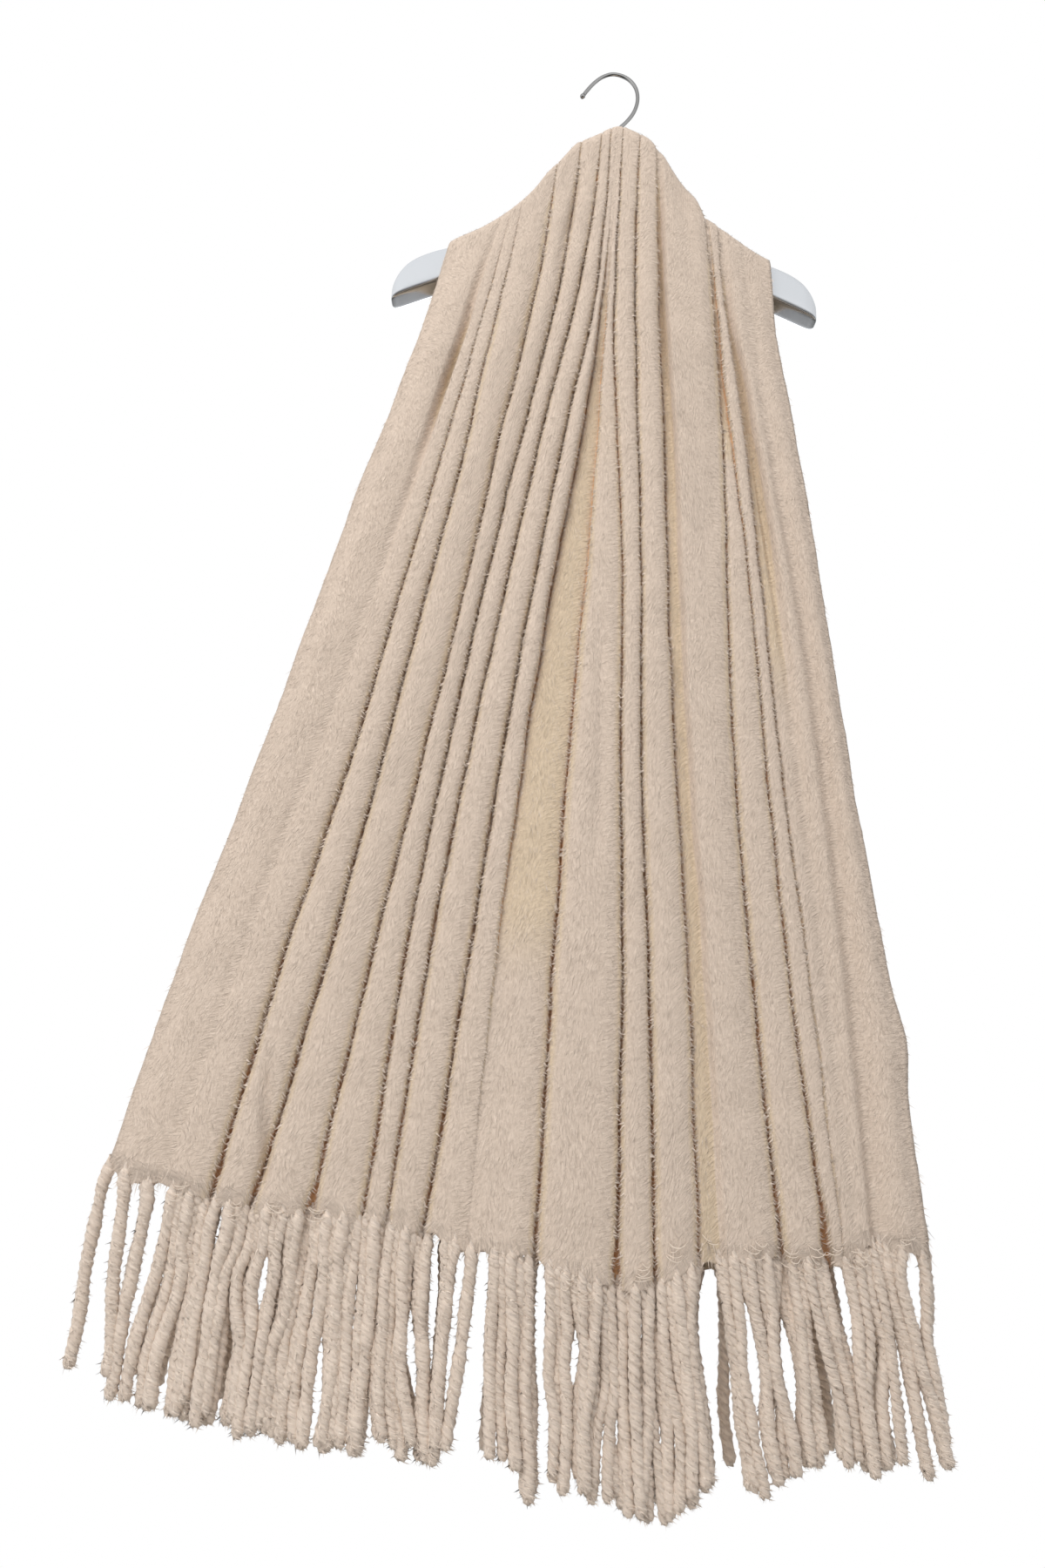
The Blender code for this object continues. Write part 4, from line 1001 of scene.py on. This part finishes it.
# ---- hanger -----------------------------------------------------------------------------
ARM_SECTIONS = np.array((     # across, top, bottom, and how far it stands out in front and behind
    (0, -99, -178, 8, 8), (9, -100, -179, 8, 8), (16, -117, -183, 8, 8),
    (28, -142, -190, 8.5, 8.5), (50, -165, -201, 9, 9.5), (80, -185, -214, 9.5, 11),
    (110, -199.5, -229, 10.5, 13), (140, -212.5, -244.5, 11, 14), (156, -218.3, -252.5, 11, 14),
    (170, -225.5, -259, 11, 14), (179, -233, -263.5, 11, 13.5), (186, -243, -267, 10.4, 12.4),
    (190, -252, -269, 8.8, 9.8), (191.7, -257.5, -269.5, 6.5, 7), (192.3, -261.5, -269, 4, 4.2),
), float) * MM
ARM_SIDES = 56
ARM_SQUARE = 6                # the sections' power: 2 is round, more is squarer
HOOK_LINE = np.array((        # across, height, from the open end
    (-28.8, -28.5), (-22.6, -17.8), (-15.9, -8.6), (-8.6, -1.9), (0.3, 1.8), (10.2, 0.2),
    (18.4, -5.6), (23.6, -14.4), (25.4, -25.0), (24.3, -35.2), (20.8, -45.2), (14.9, -54.8),
    (8.0, -63.2), (3.0, -72.5), (0.6, -84.0), (0.0, -97.0), (0.0, -112.0),
)) * MM
WIRE_RADIUS = 1.8 * MM
BALL_RADIUS = 2.5 * MM
BALL_LENGTH = 5.2 * MM        # from the ball's end to the even wire
WIRE_RINGS = 150


def arms_piece(material):
    """Both arms as one loft along X: each section is a box whose corners are rounded by a
    superellipse, between the smoothed top, bottom, front and back of the table."""
    a = np.concatenate([np.linspace(0, 0.16, 60, endpoint=False),
                        0.1923 - 0.0323 * np.linspace(1, 0, 26) ** 2])
    top, bottom, front, back = (through(a, ARM_SECTIONS[:, 0], ARM_SECTIONS[:, i])
                                for i in range(1, 5))
    x = np.concatenate([-a[:0:-1], a])
    top, bottom, front, back = (np.concatenate([v[:0:-1], v]) for v in (top, bottom, front, back))
    t = 2 * math.pi * (np.arange(ARM_SIDES) + 0.5) / ARM_SIDES
    ry, rz = (np.sign(v)[None] * np.abs(v)[None] ** (2 / ARM_SQUARE) for v in (np.cos(t), np.sin(t)))
    y = 0.5 * (back - front)[:, None] + 0.5 * (back + front)[:, None] * ry
    z = 0.5 * (top + bottom)[:, None] + 0.5 * (top - bottom)[:, None] * rz
    points = np.stack([np.broadcast_to(x[:, None], y.shape), y, z], axis=-1)
    faces = [corners[:, ::-1] for corners in tube_faces(1, len(x), ARM_SIDES)]
    return add_piece("arms", points.reshape(-1, 3), faces, material,
                     ("hanger_arms",))


def hook_piece(material):
    """Wire along the smooth curve through the hook's points, with a small ball at its open
    end: the radius follows most of a half circle for the ball and is even after it. The curve
    passes through its points with slopes from their neighbours."""
    p = HOOK_LINE
    padded = np.vstack([2 * p[0] - p[1], p, 2 * p[-1] - p[-2]])
    t = np.linspace(0, 1, 16, endpoint=False)[None, :, None]
    a, b, c, d = (padded[i:len(padded) - 3 + i][:, None] for i in range(4))
    dense = 0.5 * (2 * b + (c - a) * t + (2 * a - 5 * b + 4 * c - d) * t ** 2
                   + (3 * b - a - 3 * c + d) * t ** 3)
    dense = np.vstack([dense.reshape(-1, 2), p[-1:]])
    way = np.concatenate([[0], np.cumsum(np.linalg.norm(np.diff(dense, axis=0), axis=1))])
    turn = np.radians(np.linspace(8, 134, 12))
    at = np.concatenate([BALL_RADIUS * (1 - np.cos(turn)),
                         np.linspace(BALL_LENGTH, way[-1], WIRE_RINGS)])
    radius = np.concatenate([BALL_RADIUS * np.sin(turn), np.full(WIRE_RINGS, WIRE_RADIUS)])
    path = np.stack([np.interp(at, way, dense[:, 0]), 0 * at, np.interp(at, way, dense[:, 1])],
                    axis=-1)
    return tubes_along("hook_wire", path[None], radius[None], 24, material,
                       ("hook",))


# ---- finishes -----------------------------------------------------------------------------
def group_of(name, inputs, outputs):
    """A node group with its named sockets, and the nodes at its two ends."""
    group = bpy.data.node_groups.new(name, "ShaderNodeTree")
    for way, sockets in (("INPUT", inputs), ("OUTPUT", outputs)):
        for label, kind in sockets:
            group.interface.new_socket(label, in_out=way, socket_type="NodeSocket" + kind)
    return group, group.nodes.new("NodeGroupInput"), group.nodes.new("NodeGroupOutput")


def node(tree, kind, inputs=None, **settings):
    """A shader node with its settings; inputs gives each input, by number or name, its value or
    the socket that feeds it."""
    made = tree.nodes.new("ShaderNode" + kind)
    for key, value in settings.items():
        setattr(made, key, value)
    for key, value in (inputs or {}).items():
        if isinstance(value, bpy.types.NodeSocket):
            tree.links.new(value, made.inputs[key])
        else:
            made.inputs[key].default_value = value
    return made


def remap(tree, value, low, high, to_low=0.0, to_high=1.0, curve="LINEAR"):
    """A value carried over from one range to another and held at its ends."""
    made = node(tree, "MapRange", {"Value": value, "From Min": low, "From Max": high,
                                   "To Min": to_low, "To Max": to_high},
                interpolation_type=curve)
    return made.outputs["Result"]


def blend_values(tree, share, first, second):
    """first where share is 0, second where it is 1."""
    return node(tree, "Mix", {0: share, 2: first, 3: second}).outputs[0]


def blend_colors(tree, share, first, second, how="MIX"):
    """The same for colours, or first times second where how is MULTIPLY and share is 1."""
    return node(tree, "Mix", {0: share, 6: first, 7: second}, data_type="RGBA",
                blend_type=how).outputs[2]


def noise(tree, place, scale, detail, roughness=0.5, distortion=0.0, dimensions="2D"):
    """Soft uneven noise, so many times finer than a metre."""
    made = node(tree, "TexNoise", noise_dimensions=dimensions, inputs={
        "Vector": place, "Scale": scale, "Detail": detail, "Roughness": roughness,
        "Distortion": distortion})
    return made.outputs["Fac"]


def maths(tree, operation, *values):
    """A Math node of this operation on the values."""
    return node(tree, "Math", dict(enumerate(values)), operation=operation).outputs[0]


# The three directions of the nap's strokes: their turn, and their noise across and along.
NAP_STROKES = ((0.25, 680.0, 170.0), (-0.15, 600.0, 180.0), (1.1, 560.0, 160.0))


def nap_group():
    """Brushed nap: short strokes along three directions, of which a slow drift picks one of two
    and Sideways, at the rolls' flanks, the crosswise one; soft mottling is added. Tone runs
    from 0, dark, to 1, light; Height is for a bump."""
    group, start, end = group_of(
        "brushed_nap", (("Coordinates", "Vector"), ("Sideways", "Float")),
        (("Tone", "Float"), ("Height", "Float")))
    place = start.outputs["Coordinates"]
    layers = []
    for angle, across, along in NAP_STROKES:
        turned = node(group, "VectorRotate", {"Vector": place, "Angle": angle},
                      rotation_type="Z_AXIS")
        size = node(group, "VectorMath", {0: turned.outputs["Vector"], 1: (across, along, 1.0)},
                    operation="MULTIPLY")
        layers.append(noise(group, size.outputs["Vector"], 1.0, 2.5, 0.6, 0.5))
    drift = remap(group, noise(group, place, 26.0, 2.0), 0.42, 0.58)
    open_way = blend_values(group, drift, layers[0], layers[1])
    strokes = blend_values(group, start.outputs["Sideways"], open_way, layers[2])
    mottle = maths(group, "MULTIPLY", noise(group, place, 35.0, 3.0), 0.08)
    tone = remap(group, maths(group, "ADD", strokes, mottle), 0.31, 0.77)
    group.links.new(strokes, end.inputs["Height"])
    group.links.new(tone, end.inputs["Tone"])
    return group


def painted_fold_shade_group():
    """Painted shade for cloth that lies back in a fold: the open colour is first multiplied by a
    pale shade colour, then, deeper in, by a darker, warmer shade colour."""
    group, start, end = group_of(
        "painted_fold_shade",
        (("Open", "Color"), ("Shallow_fold_shade", "Color"), ("Deep_fold_shade", "Color"), ("Recess", "Float")),
        (("Color", "Color"),))
    color = start.outputs["Open"]
    # painted shade: pale from a recess of 0.20 to 0.36, dark and warm from 0.5 to 0.75
    for name, low, high in (("Shallow_fold_shade", 0.20, 0.36), ("Deep_fold_shade", 0.5, 0.75)):
        share = remap(group, start.outputs["Recess"], low, high, curve="SMOOTHSTEP")
        color = blend_colors(group, share, color, start.outputs[name], "MULTIPLY")
    group.links.new(color, end.inputs["Color"])
    return group


def new_material(name, sockets):
    """A material, its node tree and its shader, whose named sockets have these values."""
    material = bpy.data.materials.new(name)
    material.use_nodes = True
    shader = material.node_tree.nodes["Principled BSDF"]
    for key, value in sockets.items():
        shader.inputs[key].default_value = value
    return material, material.node_tree, shader


def cloth_material(name, light, dark, shallow_fold_shade, deep, bump, groups, sheen):
    """Matt brushed cloth: nap strokes move the colour between dark and light and drive a bump,
    and painted shade darkens and warms the colour in the folds by the piece's recess."""
    material, tree, shader = new_material(name, {
        "Roughness": 0.95, "Specular IOR Level": 0.15, "Sheen Weight": sheen,
        "Sheen Roughness": 0.55, "Sheen Tint": (1.0, 0.93, 0.86, 1.0)})
    uv = node(tree, "UVMap", uv_map="cloth")
    flank, recess = (node(tree, "Attribute", attribute_name=word).outputs["Fac"]
                     for word in ("flank", "recess"))
    nap = node(tree, "Group", node_tree=groups["nap"], inputs={
        "Coordinates": uv.outputs["UV"], "Sideways": flank})
    tone = blend_colors(tree, nap.outputs["Tone"], (*dark, 1.0), (*light, 1.0))
    # painted shade in the folds, by the recess attribute
    fold_shaded = node(tree, "Group", node_tree=groups["recess"], inputs={
        "Open": tone, "Shallow_fold_shade": (*shallow_fold_shade, 1.0), "Deep_fold_shade": (*deep, 1.0), "Recess": recess})
    relief = node(tree, "Bump", {
        "Strength": 1.0, "Distance": bump, "Height": nap.outputs["Height"]})
    tree.links.new(fold_shaded.outputs["Color"], shader.inputs["Base Color"])
    tree.links.new(relief.outputs["Normal"], shader.inputs["Normal"])
    return material


def hair_material(name, light, dark):
    """Matt hairs, each with its own tone."""
    material, tree, shader = new_material(name, {"Roughness": 0.9, "Specular IOR Level": 0.2})
    tone = node(tree, "Attribute", attribute_name="tone").outputs["Fac"]
    mixed = blend_colors(tree, tone, (*dark, 1.0), (*light, 1.0))
    tree.links.new(mixed, shader.inputs["Base Color"])
    return material


def metal_material(name, color, rim, rim_width, roughness, metallic, coat, scratch):
    """Smooth metal or lacquer with faint unevenness in its gloss and its face, and a darker
    colour towards its rims: a painted reflection of dark surroundings at grazing angles."""
    material, tree, shader = new_material(name, {
        "Metallic": metallic, "Coat Weight": coat, "Coat Roughness": 0.04})
    # painted reflection: the colour goes to the darker rim colour where the surface turns away
    facing = node(tree, "LayerWeight", {"Blend": rim_width}).outputs["Facing"]
    shade = blend_colors(tree, facing, (*color, 1.0), (*rim, 1.0))
    place = node(tree, "TexCoord").outputs["Object"]
    wear = noise(tree, place, 45.0, 5.0, dimensions="3D")
    gloss = remap(tree, wear, 0.0, 1.0, roughness * 0.6, roughness * 1.5)
    relief = node(tree, "Bump", {"Strength": 0.25, "Distance": scratch, "Height": wear})
    tree.links.new(shade, shader.inputs["Base Color"])
    tree.links.new(gloss, shader.inputs["Roughness"])
    tree.links.new(relief.outputs["Normal"], shader.inputs["Normal"])
    return material


# ---- light, floor, camera ---------------------------------------------------------------------
def add_light(name, location, target, size, power, color=(1, 1, 1), in_gloss=True):
    """A round soft lamp that faces its target; glossy surfaces may leave it out."""
    lamp = bpy.data.lights.new(name, "AREA")
    lamp.shape = "DISK"
    lamp.size = size
    lamp.energy = power
    lamp.color = color
    holder = bpy.data.objects.new(name, lamp)
    holder.location = location
    holder.visible_glossy = in_gloss
    facing = Vector(target) - Vector(location)
    holder.rotation_euler = facing.to_track_quat("-Z", "Y").to_euler()
    bpy.context.scene.collection.objects.link(holder)


def add_world():
    """White round the camera. The light itself is white from above, dark from below and a
    little weaker from the right."""
    world = bpy.data.worlds.new("studio")
    bpy.context.scene.world = world
    world.use_nodes = True
    tree = world.node_tree
    shade = tree.nodes["Background"]
    out = tree.nodes["World Output"]
    way = node(tree, "TexCoord").outputs["Generated"]
    x, y, z = node(tree, "SeparateXYZ", {0: way}).outputs
    height = remap(tree, maths(tree, "MULTIPLY_ADD", y, 0.1, z), -0.78, 0.05,
                   curve="SMOOTHSTEP")
    color = blend_colors(tree, height, (0.03, 0.03, 0.03, 1.0), (0.88, 0.89, 0.91, 1.0))
    tree.links.new(color, shade.inputs["Color"])
    tree.links.new(remap(tree, x, 0.0, 0.4, 1.0, 0.9), shade.inputs["Strength"])
    white = node(tree, "Background", {"Color": (1, 1, 1, 1), "Strength": 1.0})
    seen = node(tree, "LightPath").outputs["Is Camera Ray"]
    pick = node(tree, "MixShader", {0: seen, 1: shade.outputs[0], 2: white.outputs[0]})
    tree.links.new(pick.outputs[0], out.inputs["Surface"])


def add_floor():
    """A pale round floor far below, one flat face."""
    radius, height, corners = 0.8, -2.2, 96
    t = np.linspace(0, 2 * math.pi, corners, endpoint=False)
    rim = np.stack([radius * np.cos(t), radius * np.sin(t), np.full(corners, height)], axis=-1)
    mesh = bpy.data.meshes.new("floor")
    mesh.from_pydata([tuple(p) for p in rim], [], [tuple(range(corners))])
    pale = new_material("pale_floor", {"Base Color": (0.74, 0.70, 0.62, 1.0), "Roughness": 0.8})
    mesh.materials.append(pale[0])
    floor = bpy.data.objects.new("floor", mesh)
    bpy.context.scene.collection.objects.link(floor)


def add_camera():
    """The photograph's view: from below and in front, pitched up, a little turned. The focal
    length and the frame's height are in the photograph's pixels, the sensor in millimetres."""
    pitch, roll = math.radians(15.5), math.radians(2.98)
    focal, frame_height, sensor = 1330.0, 1800.0, 36.0
    right = np.array([1.0, 0.0, 0.0])
    up = np.array([0.0, -math.sin(pitch), math.cos(pitch)])
    ahead = np.array([0.0, math.cos(pitch), math.sin(pitch)])
    turned_right = math.cos(roll) * right + math.sin(roll) * up
    turned_up = -math.sin(roll) * right + math.cos(roll) * up
    data = bpy.data.cameras.new("camera")
    data.sensor_width = sensor
    data.lens = focal * sensor / frame_height
    camera = bpy.data.objects.new("camera", data)
    matrix = Matrix.Identity(4)
    for i in range(3):
        matrix[i][0], matrix[i][1], matrix[i][2] = turned_right[i], turned_up[i], -ahead[i]
    matrix.translation = (-0.051, -0.897, -0.964)
    camera.matrix_world = matrix
    bpy.context.scene.collection.objects.link(camera)
    bpy.context.scene.camera = camera


# ---- build -------------------------------------------------------------------------------------
# For each side: its word, its pleats, its number of nap hairs, the millimetres from tuft to
# tuft, and its number of yarn hairs.
SIDES = (
    (-1, "front", FRONT_PLEATS, 38000, 0.68, 48000),
    (1, "back", BACK_PLEATS, 12000, 3.4, 8000),
)
BEND_ROWS = 12                # rows over the arms' bend,
HEM_ROWS = (0.9885, 0.992, 0.996, 0.998, 1.0)   # and the drops of the last ones
SPARE_ROW = 30                # left out where the number of rows is even


def fall_rows(side):
    """The drops of a fall's rows, close at the bend over the arms and at the hem. The back has
    every other one between. Their number is odd, as the inner face needs it."""
    bend = np.radians(np.linspace(0, 90, BEND_ROWS))
    rows = np.concatenate([NECK_BEND * (1 - np.cos(bend)) / MEAN_FALL,
                           np.linspace(0.0267, 0.985, 135)[1:], HEM_ROWS])
    if side > 0:
        low = len(rows) - len(HEM_ROWS)
        rows = np.concatenate([rows[:BEND_ROWS], rows[BEND_ROWS:low:2], rows[low:]])
    return rows if len(rows) % 2 else np.delete(rows, SPARE_ROW)


add_camera()
add_world()
add_floor()
add_light("key", (-0.75, -1.4, 0.42), (0, 0, -0.5), 1.2, 18.2, (1.0, 0.98, 0.96),
          in_gloss=False)
add_light("fill", (-0.8, -1.4, -1.4), (-0.15, 0, -1.0), 1.4, 4.5, (1.0, 0.98, 0.97),
          in_gloss=False)
add_light("back", (0.4, 1.6, 0.2), (0, 0, -0.6), 1.4, 16.0)

groups = {"nap": nap_group(), "recess": painted_fold_shade_group()}
# the two colours after light and dark are painted shade, for shallow and for deep folds; the tassels
# carry no recess, so the yarn's never show
brushed = cloth_material("brushed_cloth", (0.76, 0.628, 0.518), (0.52, 0.42, 0.338),
                         (1.0, 0.975, 0.86), (0.98, 0.70, 0.51), 1.3 * MM, groups, 0.2)
yarn = cloth_material("twisted_yarn", (0.88, 0.75, 0.63), (0.66, 0.535, 0.435),
                      (1.0, 1.0, 1.0), (0.9, 0.9, 0.9), 0.9 * MM, groups, 0.6)
nap_hair = hair_material("nap_hair", (0.82, 0.69, 0.58), (0.46, 0.37, 0.295))
yarn_hair = hair_material("yarn_hair", (0.94, 0.81, 0.69), (0.54, 0.435, 0.35))
thread = hair_material("loose_thread", (0.84, 0.74, 0.63), (0.80, 0.69, 0.58))
# the rim colours are painted reflection: the lacquer and the wire darken towards their outlines
lacquer = metal_material("silver_lacquer", color=(0.79, 0.81, 0.83), rim=(0.60, 0.62, 0.64),
                         rim_width=0.3, roughness=0.16, metallic=0.8, coat=0.2,
                         scratch=0.02 * MM)
steel = metal_material("polished_wire", color=(0.63, 0.62, 0.60), rim=(0.02, 0.02, 0.02),
                       rim_width=0.62, roughness=0.16, metallic=1.0, coat=0.0, scratch=0.0)

for side, word, pleats, nap_count, tuft_gap, fuzz_count in SIDES:
    fall = Fall(pleats, side, fall_rows(side))
    cloth = wall_piece(word + "_cloth", fall, brushed, (word + "_fall",))
    nap = nap_on(fall, word + "_nap", nap_count, 40 + side, nap_hair)
    tufts = tufts_on(fall, word + "_tufts", tuft_gap * MM, 50 + side, nap_hair)
    tassels, points, outward = two_ply(word + "_tassels", fall, 60 + side, yarn,
                                       (word + "_fringe",))
    fuzz = fuzz_on(word + "_fuzz", points, outward, side, fuzz_count, 80 + side, yarn_hair)
    if side < 0:
        hem_threads(fall, thread)
arms_piece(lacquer)
hook_piece(steel)

bpy.context.scene.view_settings.view_transform = "Standard"
